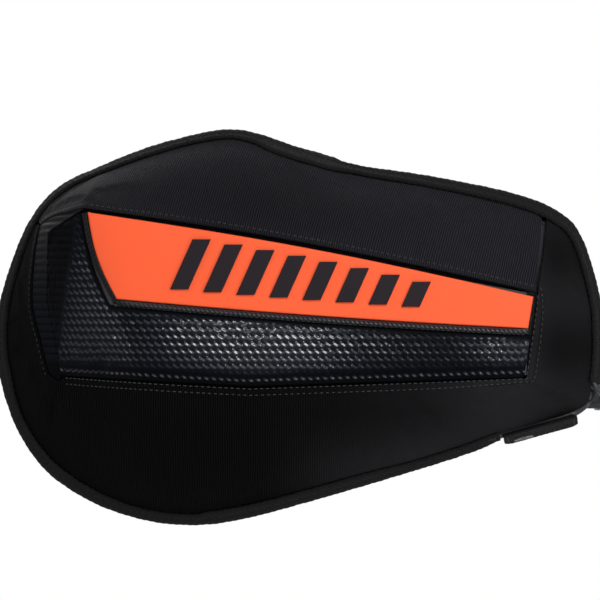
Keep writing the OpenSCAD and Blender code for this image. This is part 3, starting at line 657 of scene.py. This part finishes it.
upperPanel, upperArea, upperFlat = makePanel(
    "upperPanel", "upper_panel", upperCloth, panels["upperColumns"], 0.013, 1.994,
    {"seed": 1.0, "paintedLight": upperLightAndShade, "creases": [   # from x, z, to x, z, width, height
        (-232, 70, -205, 112, 5, 0.5), (-95, 52, -60, 84, 6, -0.4),
        (-150, 66, -128, 92, 5, 0.4), (-47, 42, -36, 72, 3.5, 0.6)]})
lowerPanel, lowerArea, lowerFlat = makePanel(
    "lowerPanel", "lower_panel", lowerCloth, panels["lowerColumns"], 2.006, 6.987,
    {"seed": 2.0, "paintedLight": lowerLightAndShade, "creases": [
        (-311, -14, -282, -48, 3, 1.4), (-300, -22, -272, -58, 5, -0.5),
        (-60, -24, -22, -36, 6, 0.6), (-120, -28, -90, -52, 7, -0.4),
        (-230, -30, -215, -86, 8, 0.4), (-36, 30, -8, 52, 5, 0.5)]})
print("fabric panels ready")


# Embossed vinyl of the front band: rows of slanted notches, each row set half a step on
emboss = {
    "columns": 540, "rows": 90, "thickness": 0.8, "pitch": 4.04, "depth": 0.72, "slant": 32,
    "notchLong": 1.75, "notchWide": 0.55, "rampLong": 1.9, "pressure": 3.0, "grow": 0.02, "cap": 0.6,
    "topMargin": 2.8, "lowMargin": 8.2, "beadHeight": 1.1, "beadInset": 3.5, "cornerShare": 0.09,
    "turnShare": 0.22, "flatLength": 250,
}


def underPlate(x, gap):   # a line that follows the plate's lower edge
    return merge(x, plateLow(np.maximum(x, plate["outLow"][0])) - gap)


def vinylEdges(t):
    gap = shell["lipGap"]
    first = bandEdge(np.full(1, 0.02))[0]
    outTop = np.array([plate["outTop"][0] - gap, plate["outTop"][1]])
    turn = np.array([plate["outLow"][0] - gap * 1.3, plate["outLow"][1] - gap])
    a, b = emboss["cornerShare"], emboss["turnShare"]
    top, side, low = t / a, (t - a) / (b - a), np.clip((t - b) / (1 - b), 0, 1)
    x = blend(turn[0], bandEdge(np.full(1, 2.48))[0, 0] - 0.4, low)
    up = np.where((t < a)[:, None], blend(first, outTop, top[:, None]),
                  np.where((t < b)[:, None], blend(outTop, turn, side[:, None]) + sideBow(side),
                           underPlate(x, gap)))
    c = np.where(t < a, 6.98 - 0.98 * top,
                 np.where(t < b, 6 - 1.38 * np.clip(side, 0, 1)**0.75, blend(4.62, 3.004, low)))
    return bandEdge(c), up


def notchDepth(u, v):
    pitch = emboss["pitch"]
    row = np.round(v / pitch)
    shift = np.mod(row, 2) * pitch / 2
    du = u - shift - np.round((u - shift) / pitch) * pitch
    dv = v - row * pitch
    turn = math.radians(emboss["slant"])
    a = du * math.cos(turn) - dv * math.sin(turn)
    b = du * math.sin(turn) + dv * math.cos(turn)
    inside = np.exp(-(np.abs(a) / emboss["notchLong"])**4)
    ramp = np.where(b < 0, np.clip(1 + b / emboss["rampLong"], 0, 1)**1.6,
                    1 - smooth(b / emboss["notchWide"]))
    return inside * ramp, inside * bell(b - 0.3, 0.34)


def foldX(z):   # where the vinyl turns back for good
    return -291.5 + (z - 63) * 0.136


def rowGroove(z):
    return 0.5 - 0.5 * np.cos(z * 2 * math.pi / emboss["pitch"])


def vinylBase(u, w):
    low, up = vinylEdges(u)
    p = blend(low, up, w[:, None])
    return bandPoint(p[:, 0], p[:, 1]), p


vinylSwell = clothLift("embossedCloth", vinylBase, 120, 12, emboss)


def vinylPlace(u, w):
    low, up = vinylEdges(u)
    x, z = blend(low, up, w[:, None]).T
    fromCrease = x - creaseX(z)
    side = smooth((foldX(z) + 1.5 - x) / 3)
    length = x + np.minimum(fromCrease, 0) * 0.3
    height = np.linalg.norm(up - low, axis=1)
    fromLow = z - bandLow(x)
    fromTop = (1 - w) * height + 30 * smooth((emboss["cornerShare"] - u) / 0.03)
    fromEnd = (1 - u) * emboss["flatLength"]
    field = (smooth((fromTop - emboss["topMargin"] + 0.8) / 1.2)
             * smooth((fromLow - emboss["lowMargin"] + 0.8) / 1.6) * smooth((fromEnd - 1.5) / 1.5))
    ramp, steep = notchDepth(length, z)
    notch = blend(ramp, 0.8 * rowGroove(z), side) * field
    hollow = blend(steep, smooth((rowGroove(z) - 0.5) / 0.4), side) * field
    beadAt = length - np.round(length / emboss["pitch"]) * emboss["pitch"]
    beadUp = fromLow - emboss["beadInset"]
    bead = bell(beadAt + beadUp * 0.8, 0.9) * bell(beadUp, 0.75)
    lift = emboss["beadHeight"] * bead * smooth((fromCrease - 1) / 4) - emboss["depth"] * notch
    lift += (vinylSwell(u, w) + 0.1 * ripple(x, z, 42.0, 5.0)) * smooth(fromLow / 6) * smooth(fromTop / 6)
    lift += dent(fromCrease, 0.9, 2.6) * window(z, 1, 6, 29, 4)
    lift += dent(fromLow, 0.5, 0.5) + dent(fromTop, 0.9, 1.0) + dent(fromEnd, 0.7, 1.0)
    # Painted light and shade: shade in the notch hollows, on the plain margins, the lower rows, the
    # turned-back side and between the notch ramps; a darker painted shade over the facet; painted sheen along
    # the band; painted glints on the beads.
    plain = smooth((fromTop - 1.6) / 2.4) * smooth((fromLow - 5.6) / 4.4)
    plain *= blend(0.7, 1.0, smooth((fromLow - 7) / 12)) * blend(1.0, 0.22, side)
    plain *= blend(0.3 + 0.7 * smooth(ramp / 0.25), 1.0, side)
    facetShade = blend(0.12, 0.6, smooth((x + 302 + (62 - z) * 0.3) / 34))
    sheen = 0.33 + 0.67 * bell(x + 186, 52) + 0.6 * bell(x + 48, 20)
    sheenAndFacetShade = blend(facetShade, sheen, smooth((fromCrease + 3) / 6)) + 0.1 * ripple(x, z * 2, 70.0, 2.0)
    paintedLight = np.clip((1 - 0.95 * hollow) * blend(0.05, 1.0, plain) * sheenAndFacetShade + bead, 0, 1)
    return bandPoint(x, z) + bandNormal(x, z) * lift[:, None], merge(length, z), paintedLight


embossedPanel, _ = makeSheet("embossedPanel", "embossed_panel", vinylSkin,
                             emboss["thickness"], emboss["columns"], emboss["rows"], vinylPlace)


def returnPlace(u, w):   # the strip that carries the vinyl over the side wall
    c = 5.0 + 3.0 * u
    s = w * seamShare(c)
    p = wallPoint(c, s)
    z = p[:, 2]
    span = wallSpan(c, 0.15)
    edge = (seamShare(c) - s) * span
    field = smooth(edge / 2.4) * smooth((z - bandLow(p[:, 0]) - emboss["lowMargin"] + 0.8) / 1.6)
    groove = 0.8 * rowGroove(z) * field
    lift = dent(edge, 0.45, 0.6) - emboss["depth"] * groove
    lift += shell["seamDrop"] * smooth(1 - s * span / 3)
    # painted shade: the strip over the side wall is kept dark, darker past the top corner and in the row
    # grooves
    paintedLight = blend(0.13, 0.06, smooth((c - 6.6) / 0.3)) * blend(0.1, 1.0, field)
    paintedLight *= 1 - 0.9 * smooth((groove - 0.4) / 0.35)
    return p + layerNormal(c, s) * lift[:, None], p[:, [0, 2]], paintedLight


makeSheet("bandReturn", None, vinylSkin, emboss["thickness"], 220, 36, returnPlace)
print("embossed band ready")


# Orange plate, its relief bars and the rolled lip
plateLook = {
    "columns": 300, "rows": 64, "width": 226.0, "thickness": 1.3, "edgeRound": 1.1, "bars": 8,
    "barWidth": 10, "barPitch": 18, "barHeight": 1.5, "barSink": 0.1, "barRound": 0.45,
    "barLean": 0.45, "barFrom": -238, "barMargin": 8,
}
lip = {
    "columns": 900, "rows": 16, "thickness": 0.7, "sideShare": 0.18, "flatLength": 280,
    "halfWidth": 1.5, "height": 1.75, "weaveStep": 2.6, "weaveDepth": 0.35,
}


def crowd(t):   # more columns near both edges
    return 0.5 - 0.5 * np.cos(np.pi * np.clip(t, 0, 1))


def platePlace(u, w):
    u, w = crowd(u), crowd(w)
    xl = blend(plate["outLow"][0], plate["inLow"][0], u)
    xt = blend(plate["outTop"][0], plate["inTop"][0], u)
    low, top = plateLow(xl), plateTop(xt)
    spots = merge(blend(xl, xt, w), blend(low, top, w)) + sideBow(w) * ((1 - u)**6)[:, None]
    x, z = spots.T
    d = np.minimum(np.minimum(u, 1 - u) * plateLook["width"], np.minimum(w, 1 - w) * (top - low))
    r = plateLook["edgeRound"]
    drop = r - np.sqrt(np.maximum(r * r - np.clip(r - d, 0, r)**2, 0))
    swell = 0.12 * ripple(x, z, 80.0, 7.0) * smooth(d / 5)
    return bandPoint(x, z, plate["proud"] - drop + swell), spots


makeSheet("accentPanel", "accent_panel", orangeSkin, plateLook["thickness"],
          plateLook["columns"], plateLook["rows"], platePlace)

barMesh = bmesh.new()
for k in range(plateLook["bars"]):
    x0 = plateLook["barFrom"] + k * plateLook["barPitch"]

    def barPlace(u, w):
        low = plateLow(x0) + plateLook["barMargin"]
        z = blend(low, plateTop(x0) - plateLook["barMargin"], w)
        x = x0 + u * plateLook["barWidth"] + (z - low) * plateLook["barLean"]
        return bandPoint(x, z, plate["proud"] - plateLook["barSink"]), merge(x, z)

    bm, *_ = gridSheet(6, 12, barPlace)
    top = bmesh.ops.extrude_face_region(bm, geom=bm.faces[:])
    raised = [g for g in top["geom"] if isinstance(g, bmesh.types.BMVert)]
    rise = (plateLook["barHeight"] + plateLook["barSink"]) * mm
    bmesh.ops.translate(bm, verts=raised, vec=(0, -rise, 0))
    bmesh.ops.recalc_face_normals(bm, faces=bm.faces[:])
    sharp = [e for e in bm.edges if len(e.link_faces) == 2 and e.calc_face_angle(0) > 0.9
             and e.verts[0] in raised and e.verts[1] in raised]
    bmesh.ops.bevel(bm, geom=sharp, offset=plateLook["barRound"] * mm, affect="EDGES", segments=3,
                    profile=0.5, material=-1)
    join(barMesh, bm)
accentBars = addPiece("accentBars", meshFrom("accentBars", barMesh), reliefSkin, False)
settle("accent_bars")


def lipCentre(t):
    mid = shell["lipGap"] / 2
    a = lip["sideShare"]
    top = np.array([plate["outTop"][0] - mid * 1.04, plate["outTop"][1] - 0.5])
    corner = np.array([plate["outLow"][0] - mid * 1.04, plate["outLow"][1] + 1])
    down = blend(top, corner, np.clip(t / a, 0, 1)[:, None]) + sideBow(t / a)
    x = blend(plate["outLow"][0] - mid * 0.5, plate["inLow"][0], np.clip((t - a) / (1 - a), 0, 1))
    return np.where((t < a)[:, None], down, underPlate(x, mid))


def lipPlace(u, w):
    p = lipCentre(u)
    d = unit(lipCentre(np.minimum(u + 0.012, 1)) - lipCentre(np.maximum(u - 0.012, 0)))
    k = blend(-1.0, 1.0, w)
    x = p[:, 0] - d[:, 1] * k * lip["halfWidth"]
    z = p[:, 1] + d[:, 0] * k * lip["halfWidth"]
    along = u * lip["flatLength"]
    weave = bell(np.mod(along + k * 1.1, lip["weaveStep"]) - lip["weaveStep"] / 2, 0.5)
    weave *= smooth((0.75 - np.abs(k + 0.1)) / 0.3)
    lift = lip["height"] * np.sqrt(np.maximum(1 - k**2, 0)) - 0.1 - lip["weaveDepth"] * weave
    # painted shade: the lip is darker along the plate's side and in the dents of its weave
    paintedLight = blend(0.25, 0.6, smooth((u - 0.17) / 0.05)) * np.clip(0.85 - 0.75 * weave, 0, 1)
    return bandPoint(x, z, lift), merge(along, k * 3), paintedLight


makeSheet("accentLip", "accent_lip", lipSkin, lip["thickness"], lip["columns"],
          lip["rows"], lipPlace)
print("orange plate ready")


# Lining: the side wall and the centre, as one inner skin
lining = {"wallColumns": 560, "centreColumns": 200, "rows": 40, "thickness": 1.6, "softness": 46.0}


def liningDepth(s):
    foam = (shell["foam"] + shell["foamGap"]) * (1 - smooth(s / 0.5))
    return shell["fabric"] + shell["layerGap"] + foam + shell["lining"]


def liningWall(u, w):
    c = 7.0 * u
    s = 1 - w
    p = wallPoint(c, s)
    soft = 0.5 + 0.5 * ripple(p[:, 0], p[:, 2], lining["softness"], 9.0)
    lift = 1.5 * soft * window(s, 0, 0.2, 1, 0.25) - dent(s * wallSpan(c, 0.3) - 2, 0.5, 1.4)
    return p - layerNormal(c, s) * (liningDepth(s) + lift * 0.6)[:, None], p[:, [0, 2]]


def liningCentre(u, w):
    top = bandEdge(blend(0.0, 2.0, u))
    low = bandEdge(blend(5.0, 3.0, u))
    out = bandEdge(blend(7.0, 5.0, 1 - w))
    inn = bandEdge(blend(3.0, 2.0, w))
    w1, u1 = w[:, None], u[:, None]
    corners = blend(blend(bandCorners[5], bandCorners[3], u1), blend(bandCorners[0], bandCorners[2], u1), w1)
    p = blend(low, top, w1) + blend(out, inn, u1) - corners
    x, z = p[:, 0], p[:, 1]
    edge = np.minimum(np.minimum(u * 250, (1 - u) * 250), np.minimum(w, 1 - w) * 60)
    soft = (0.5 + 0.5 * ripple(x, z, lining["softness"], 3.0)) * smooth(edge / 8)
    return merge(x, baseY(x, z) + shell["seamDrop"] + liningDepth(np.zeros(1))[0] + soft, z), p


liningMesh, liningFlat = bmesh.new(), []
for columns, place in ((lining["wallColumns"], liningWall), (lining["centreColumns"], liningCentre)):
    bm, flat, _ = gridSheet(columns, lining["rows"], place)
    for face in bm.faces:
        face.normal_flip()
    join(liningMesh, bm)
    liningFlat.append(flat)
innerLining = addPiece("innerLining", meshFrom("innerLining", liningMesh), liningCloth)
setFlat(innerLining, np.concatenate(liningFlat))
thicken(innerLining, lining["thickness"])
settle("inner_lining")
print("lining ready")


# Binding tape round the rim
binding = {
    "from": 3.218, "wireFrom": 3.24, "to": 9.85, "columns": 900, "rows": 40, "thickness": 0.75,
    "stitchPitch": 3.6, "pucker": 0.26, "endShrink": 0.76,
}
stack = shell["fabric"] + shell["layerGap"] + shell["lining"]
wireOut, wireUp = shell["wire"] + 0.8, -stack / 2


def tapeSection(steps):
    # Outer profile of the folded tape: front flap, roll round the wire, back flap.
    gap, thick, width = shell["tapeGap"], shell["tape"], shell["tapeWidth"]
    r = shell["wire"] + 0.15 + thick
    front = [(-width, gap * 0.4), (-width, gap + thick * 0.7), (-width + 0.5, gap + thick),
             (-3, gap + thick), (0, gap + thick)]
    roll = [(wireOut + math.cos(a) * r, wireUp + math.sin(a) * r)
            for a in np.radians(np.linspace(112, -112, 15))]
    back = [(x, -stack - y) for x, y in reversed(front)]
    line = np.array(front + roll + back)
    size = runLengths(line)
    t = np.linspace(0, size[-1], steps)
    return np.interp(t, size, line[:, 0]), np.interp(t, size, line[:, 1]), t


rimCs = np.linspace(binding["from"], binding["to"], 2400)
rimLine = runLengths(rimFrame(rimCs, np.zeros_like(rimCs), np.zeros_like(rimCs)))


def tapePoint(c, out, up):
    s = 1 + np.minimum(out, 0) / wallSpan(c, 0.93)
    flap = wallPoint(c, s) + wallNormal(c, s) * up[:, None]
    return blend(flap, rimFrame(c, out, up), smooth((out + 0.6) / 1.2)[:, None])


def tapePlace(u, w):
    outs, ups, t = tapeSection(40)
    length = blend(0, rimLine[-1], u)
    c = np.interp(length, rimLine, rimCs)
    at = w * t[-1]
    out, up = np.interp(at, t, outs), np.interp(at, t, ups)
    x, _, z = wallPoint(c, np.ones_like(c)).T
    out = np.where((up > wireUp) & (out < 0), out * tapeReach(x, z) / shell["tapeWidth"], out)
    wave = np.sin((length + np.where(out < 1, out * 0.7, 0)) * 2 * math.pi / binding["stitchPitch"])
    rough = binding["pucker"] * wave * np.where(out < 1, 1, 0.4) + 0.22 * ripple(length, at, 13.0, 4.0)
    step = 0.9 * (window(x, -172, 16, -147, 3) - window(x, -149, 3, -112, 25)) * smooth((z - 60) / 20)
    out = out + step * smooth((out - 1) / 3)
    end = blend(binding["endShrink"], 1.0, smooth((length - 1) / 11))
    up = wireUp + (up - wireUp) * end
    out = np.where(out > wireOut, wireOut + (out - wireOut) * end, out)
    up = up + rough * np.sign(up - wireUp) * smooth((out + shell["tapeWidth"]) / 0.8)
    out = out + 0.25 * ripple(length, at * 0.1, 17.0, 6.0) * np.where(out > 0, 0.5, 1)
    return tapePoint(c, out, up), merge(length, at)


bm, flat, _ = gridSheet(binding["columns"], binding["rows"], tapePlace)
edgeBinding = addPiece("edgeBinding", meshFrom("edgeBinding", bm), tapeCloth)
setFlat(edgeBinding, flat)
fold = edgeBinding.data.polygons[len(edgeBinding.data.polygons) // 2]
thicken(edgeBinding, -binding["thickness"] if fold.normal.y > 0.9 else binding["thickness"])
settle("edge_binding")
print("binding ready")


# Stitching: each stitch is a small thread capsule half sunk in the cloth
seams = {"length": 2.5, "radius": 0.36, "spacing": 1.28, "sink": 0.25, "lipLength": 2.2, "lipRadius": 0.25}
capsule = bmesh.new()
bmesh.ops.create_uvsphere(capsule, u_segments=6, v_segments=5, radius=1)
stitchBall = meshFrom("stitchBall", capsule)


def addStitch(spots, a, b, p, n, radius, sink):
    along = unit(b - a)
    side = unit(np.cross(n, along))
    up = np.cross(along, side)
    axes = np.stack([along * np.linalg.norm(b - a) / 2, side * radius, up * radius])
    spots.append((axes * mm, (p + n * (radius - sink)) * mm))


def stitchRun(spots, points, normals, length, radius):
    size = runLengths(points)
    count = int(size[-1] // (length * seams["spacing"]))

    def at(line, place):
        return np.array([np.interp(place, size, line[:, i]) for i in range(3)])

    for k in range(count):
        mid = (k + 0.5) * size[-1] / count
        a, b, p = (at(points, mid + d) for d in (-length / 2, length / 2, 0))
        addStitch(spots, a, b, p, unit(at(normals, mid)), radius, seams["sink"])


def sewStitches(name, spots, material=threadSkin):
    # One copy of the thread capsule for each spot, stretched and turned to its place.
    ball = np.zeros(len(stitchBall.vertices) * 3)
    stitchBall.vertices.foreach_get("co", ball)
    ball = ball.reshape(-1, 3)
    bm = bmesh.new()
    copies = bpy.data.meshes.new(name + "Copies")
    step = 1
    bm.from_mesh(stitchBall)
    while step < len(spots):
        bm.to_mesh(copies)
        bm.from_mesh(copies)
        step *= 2
    bpy.data.meshes.remove(copies)
    bm.verts.ensure_lookup_table()
    bmesh.ops.delete(bm, geom=bm.verts[len(spots) * len(ball):], context="VERTS")
    axes, middle = (np.array(values) for values in zip(*spots))
    points = (np.einsum("kj,nji->nki", ball, axes) + middle[:, None, :]).reshape(-1, 3)
    for v, p in zip(bm.verts, points):
        v.co = p
    addPiece(name, meshFrom(name, bm), material)


def wallRun(cFrom, cTo, distance, wider=0.0):   # wider: more distance at the band's inner end
    c = np.linspace(cFrom, cTo, 700)
    distance = distance + wider * (1 - smooth((c - 2.9) / 0.3))
    s = np.clip(clothStart(c) + distance / wallSpan(c, 0.15), 0, 1)
    return wallPoint(c, s), layerNormal(c, s)


spots = []
for run in ((1.01, 1.99, 3.2), (2.02, 4.98, 0.3), (2.03, 4.97, 3.8, 1.5), (5.02, 6.95, 2.2),
            (0.06, 0.95, 3.4)):   # from and to along the band, distance from the seam
    stitchRun(spots, *wallRun(*run), seams["length"], seams["radius"])
x, z = lipCentre(np.linspace(0.01, 0.995, 700)).T
z = z - 1.9
n = bandNormal(x, z)
stitchRun(spots, bandPoint(x, z) + n * 0.2, n, seams["lipLength"], seams["lipRadius"])
sewStitches("seamStitches", spots)

spots = []
stops = np.arange(2.0, rimLine[-1] - 2, binding["stitchPitch"] / 2)
c = np.interp(stops, rimLine, rimCs)
x, _, z = wallPoint(c, np.ones_like(c)).T
high = shell["tapeGap"] + shell["tape"]
for up, far, facing in ((high, tapeReach(x, z), 1), (-stack - high, shell["tapeWidth"], -1)):
    out = np.where(np.arange(len(stops)) % 2 == 0, 0.8 - far, 1.3)
    line = tapePoint(c, out, np.full_like(out, up))
    n = wallNormal(c, np.full_like(c, 0.96)) * facing
    for a, b, normal in zip(line, line[1:], n):
        addStitch(spots, a, b, (a + b) / 2, normal, 0.34, 0.1)
sewStitches("bindingStitches", spots, tapeThreadSkin)
print("stitching ready")


# Closure tab, its inner flap and the frame wire
tab = {
    "at": (-36.0, -66.6, -39.6), "rise": 15.5, "pitch": 12.0, "drop": 2.3, "width": 42.0,
    "length": 21.5, "corner": 6.5, "thickness": 1.2, "snapGap": 3.0, "flapOver": 3.3,
    "stitchLength": 2.4, "stitchRadius": 0.34,
}
tabTurn = (Matrix.Rotation(math.radians(-tab["rise"]), 3, "Y")
           @ Matrix.Rotation(math.radians(-tab["pitch"]), 3, "X"))
tabOut = tabTurn @ Vector((0, 0, -1))


def tabPoint(points):
    return points @ np.array(tabTurn).T + np.array(tab["at"])


def tabSheet(name, node, profile):
    profile = np.array(profile)
    size = runLengths(profile)

    def place(u, w):
        at = w * size[-1]
        y = np.interp(at, size, profile[:, 0])
        z = np.interp(at, size, profile[:, 1])
        turn = tab["corner"]
        k = np.clip(at - (size[-1] - turn), 0, turn)
        narrow = turn - np.sqrt(np.maximum(turn**2 - k**2, 0))
        x = (u * 2 - 1) * (tab["width"] / 2 - narrow)
        curl = 0.35 * ripple(x, y, 24.0, 3.0) * smooth(at / 6)
        return tabPoint(merge(x, y, z + curl)), merge(x, at)

    makeSheet(name, node, tabCloth, tab["thickness"], 60, 34, place)


flapHigh = tab["flapOver"] + tab["thickness"]
flapLow = tab["snapGap"] - tab["drop"] + tab["thickness"]
tabSheet("closureTab", "closure_tab", [(-2.5, -tab["drop"]), (tab["length"], -tab["drop"])])
tabSheet("tabBase", "tab_base", [
    (3.1, flapHigh), (8.0, flapHigh), (9.8, flapLow), (tab["length"] - 1.5, flapLow)])

legX, legFront, legBack, legZ = 7.0, -37.0, -10.0, -24.5
legIn = [(legX, legBack, legZ), (legX, legFront + 8, legZ), (legX, legFront, legZ),
         (legX - 0.9, legFront - 5.5, legZ - 0.9), (legX - 4.4, legFront - 11.5, legZ - 1.4),
         (legX - 8.8, legFront - 17, legZ + 1.8)]
tabWire = tabPoint(np.array([(-12, 4.4, 0.4), (5, 4.8, 0.4), (20, 4.8, 0.4)]))
legOut = [(-legX - 3, legFront - 19.5, legZ - 5.5), (-legX - 0.4, legFront - 9, legZ - 1.2),
          (-legX, legFront, legZ), (-legX, legFront + 8, legZ), (-legX, legBack, legZ)]
wireCs = np.linspace(binding["to"], binding["wireFrom"], 130)
rimWire = rimFrame(wireCs, np.full_like(wireCs, wireOut), np.full_like(wireCs, wireUp))
wirePath = np.concatenate([legIn, rimWire, tabWire, legOut])


def tubeAlong(name, path, radius, sides):
    curve = bpy.data.curves.new(name, "CURVE")
    curve.dimensions = "3D"
    curve.bevel_depth = radius * mm
    curve.bevel_resolution = sides
    curve.use_fill_caps = True
    curve.resolution_u = 4
    line = curve.splines.new("NURBS")
    line.points.add(len(path) - 1)
    for point, p in zip(line.points, path):
        point.co = (*(p * mm), 1)
    line.order_u = 4
    line.use_endpoint_u = True
    made = linkPiece(name + "Curve", curve)
    mesh = bpy.data.meshes.new_from_object(made)
    mesh.name = name
    mesh.materials.clear()
    bpy.data.objects.remove(made)
    return mesh


frameWire = addPiece("frameWire", tubeAlong("frameWire", wirePath, shell["wire"] - 0.03, 4), wireSkin)
settle("frame_wire")

capLook = {"steps": 48, "profile": [   # radius, height
    (0, 0.5), (1.2, 0.4), (1.7, 0.12), (3.5, 0.02), (4.2, 0.4), (4.9, 0.5), (5.45, 0.3), (5.7, -0.1),
    (5.7, -0.5), (0, -0.5)]}
capCorners = [Vector(p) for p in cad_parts["snap_cap"].bound_box]
bm = bmesh.new()
ring = [bm.verts.new((r * mm, 0, h * mm)) for r, h in capLook["profile"]]
line = [bm.edges.new(pair) for pair in zip(ring, ring[1:])]
bmesh.ops.spin(bm, geom=ring + line, axis=(0, 0, 1), cent=(0, 0, 0), steps=capLook["steps"],
               angle=2 * math.pi)
bmesh.ops.remove_doubles(bm, verts=bm.verts[:], dist=0.00001)
bmesh.ops.recalc_face_normals(bm, faces=bm.faces[:])
capTurn = tabOut.to_track_quat("Z", "Y").to_matrix().to_4x4()
bmesh.ops.transform(bm, matrix=Matrix.Translation(sum(capCorners, Vector()) / 8) @ capTurn, verts=bm.verts[:])
snapCap = addPiece("snapCap", meshFrom("snapCap", bm), nickelSkin)
softEdge = snapCap.modifiers.new("round", "SUBSURF")
softEdge.levels = softEdge.render_levels = 1
settle("snap_cap")

spots = []
half = tab["width"] / 2
y = np.linspace(0.5, tab["length"] - 2, 60)
x = np.linspace(3 - half, half - 3, 90)
for across, up in ((np.full_like(y, 2.2 - half), y), (np.full_like(y, half - 2.2), y),
                   (x, np.full_like(x, tab["length"] - 2.0))):
    line = tabPoint(merge(across, up, np.full_like(up, -tab["drop"] - tab["thickness"])))
    n = np.tile(np.array(tabOut), (len(up), 1))
    stitchRun(spots, line, n, tab["stitchLength"], tab["stitchRadius"])
sewStitches("tabStitches", spots)
print("tab and wire ready")


# Hard parts: softened copies of the model's own solids
for node, name, material, slot, width in (
        ("bar_clamp_body", "barClampBody", clampSkin, "clamp_metal", 0.5),
        ("bar_clamp_cap", "barClampCap", clampSkin, "clamp_metal", 0.5),
        ("leg_clamp_plate", "legClampPlate", clampSkin, "clamp_metal", 0.4),
        ("clamp_screw_upper", "clampScrewUpper", steelSkin, "screw_steel", 0.2),
        ("clamp_screw_lower", "clampScrewLower", steelSkin, "screw_steel", 0.2),
        ("leg_screw_front", "legScrewFront", steelSkin, "screw_steel", 0.2),
        ("leg_screw_rear", "legScrewRear", steelSkin, "screw_steel", 0.2)):
    bm = bmesh.new()
    bm.from_mesh(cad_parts[node].data)
    bmesh.ops.remove_doubles(bm, verts=bm.verts[:], dist=0.00001)
    bmesh.ops.dissolve_limit(bm, angle_limit=math.radians(2), verts=bm.verts[:], edges=bm.edges[:])
    piece = addPiece(name, meshFrom(name, bm), material)
    edge = piece.modifiers.new("edges", "BEVEL")
    edge.width = width * mm
    edge.segments = 2
    edge.limit_method = "ANGLE"
    edge.angle_limit = math.radians(40)
    edge.harden_normals = True
    settle(node)

for node, material in (
        ("band_foam", foamSkin), ("snap_socket", nickelSkin),
        ("snap_stud", nickelSkin), ("snap_post", nickelSkin), ("washer_upper", steelSkin),
        ("washer_lower", steelSkin), ("leg_bushing_inner", rubberSkin), ("leg_bushing_outer", rubberSkin)):
    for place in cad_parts[node].material_slots:
        place.material = material
print("hard parts ready")


# Studio: white surroundings, pale floor, soft lamps and a straight front view
centre = (-0.1672, -0.06, 0.0275)
studio = {
    "distance": 5.0, "frameWidth": 0.33, "sensor": 36, "floor": -0.36, "floorGlow": 0.7, "ambient": 0.3,
    "lamps": {   # place, target, size, power
        "keyLamp": ((0.35, -1.5, 0.95), centre, (0.9, 0.6), 19.0),
        "fillLamp": ((0.35, -0.7, -0.28), (-0.06, -0.09, -0.03), (0.3, 0.1), 1.6),
        "sideLamp": ((-1.59, -0.71, 0.69), (-0.28, -0.08, 0.02), (0.5, 0.5), 5),
        "backLamp": ((-0.4, 1.5, 0.9), centre, (1.2, 0.8), 12)},
}
white = (1, 1, 1, 1)
world = bpy.data.worlds.new("studioWorld")
scene.world = world
world.use_nodes = True
world.node_tree.nodes.clear()
tree = Link(world.node_tree)
path = tree.add("LightPath")
seen = tree.calc("MAXIMUM", tree.calc("MAXIMUM", path, path.out("Is Glossy Ray")),
                 path.out("Is Transmission Ray"))
level = seen + (1 - seen) * studio["ambient"]
back = tree.add("Background", None, {"Color": white, "Strength": level})
tree.add("OutputWorld", None, {"Surface": back})

material, tree = newMaterial("paleFloor")
body = tree.add("BsdfDiffuse", None, {"Color": (0.9, 0.9, 0.9, 1)})
glow = tree.add("Emission", None, {"Color": white, "Strength": 1.0})
share = tree.add("LightPath") * studio["floorGlow"]
finishMaterial(tree, tree.add("MixShader", None, {0: share, 1: body, 2: glow}))
bm = bmesh.new()
place = Matrix.Translation((-0.167, 0, studio["floor"]))
bmesh.ops.create_grid(bm, x_segments=1, y_segments=1, size=6, matrix=place)
floorPiece = linkPiece("floor", meshFrom("floor", bm))
floorPiece.data.materials.append(material)

for name, (place, target, size, power) in studio["lamps"].items():
    lamp = bpy.data.lights.new(name, "AREA")
    lamp.shape = "RECTANGLE"
    lamp.size, lamp.size_y = size
    lamp.energy = power
    lampPiece = linkPiece(name, lamp)
    lampPiece.location = place
    lampPiece.rotation_euler = (Vector(target) - Vector(place)).to_track_quat("-Z", "Y").to_euler()

camera = bpy.data.cameras.new("frontCamera")
camera.sensor_width = studio["sensor"]
camera.lens = studio["sensor"] * studio["distance"] / studio["frameWidth"]
camera.clip_end = 50
cameraPiece = linkPiece("frontCamera", camera)
cameraPiece.location = (centre[0], centre[1] - studio["distance"], centre[2])
cameraPiece.rotation_euler = (math.radians(90), 0, 0)
scene.camera = cameraPiece
print("studio ready")
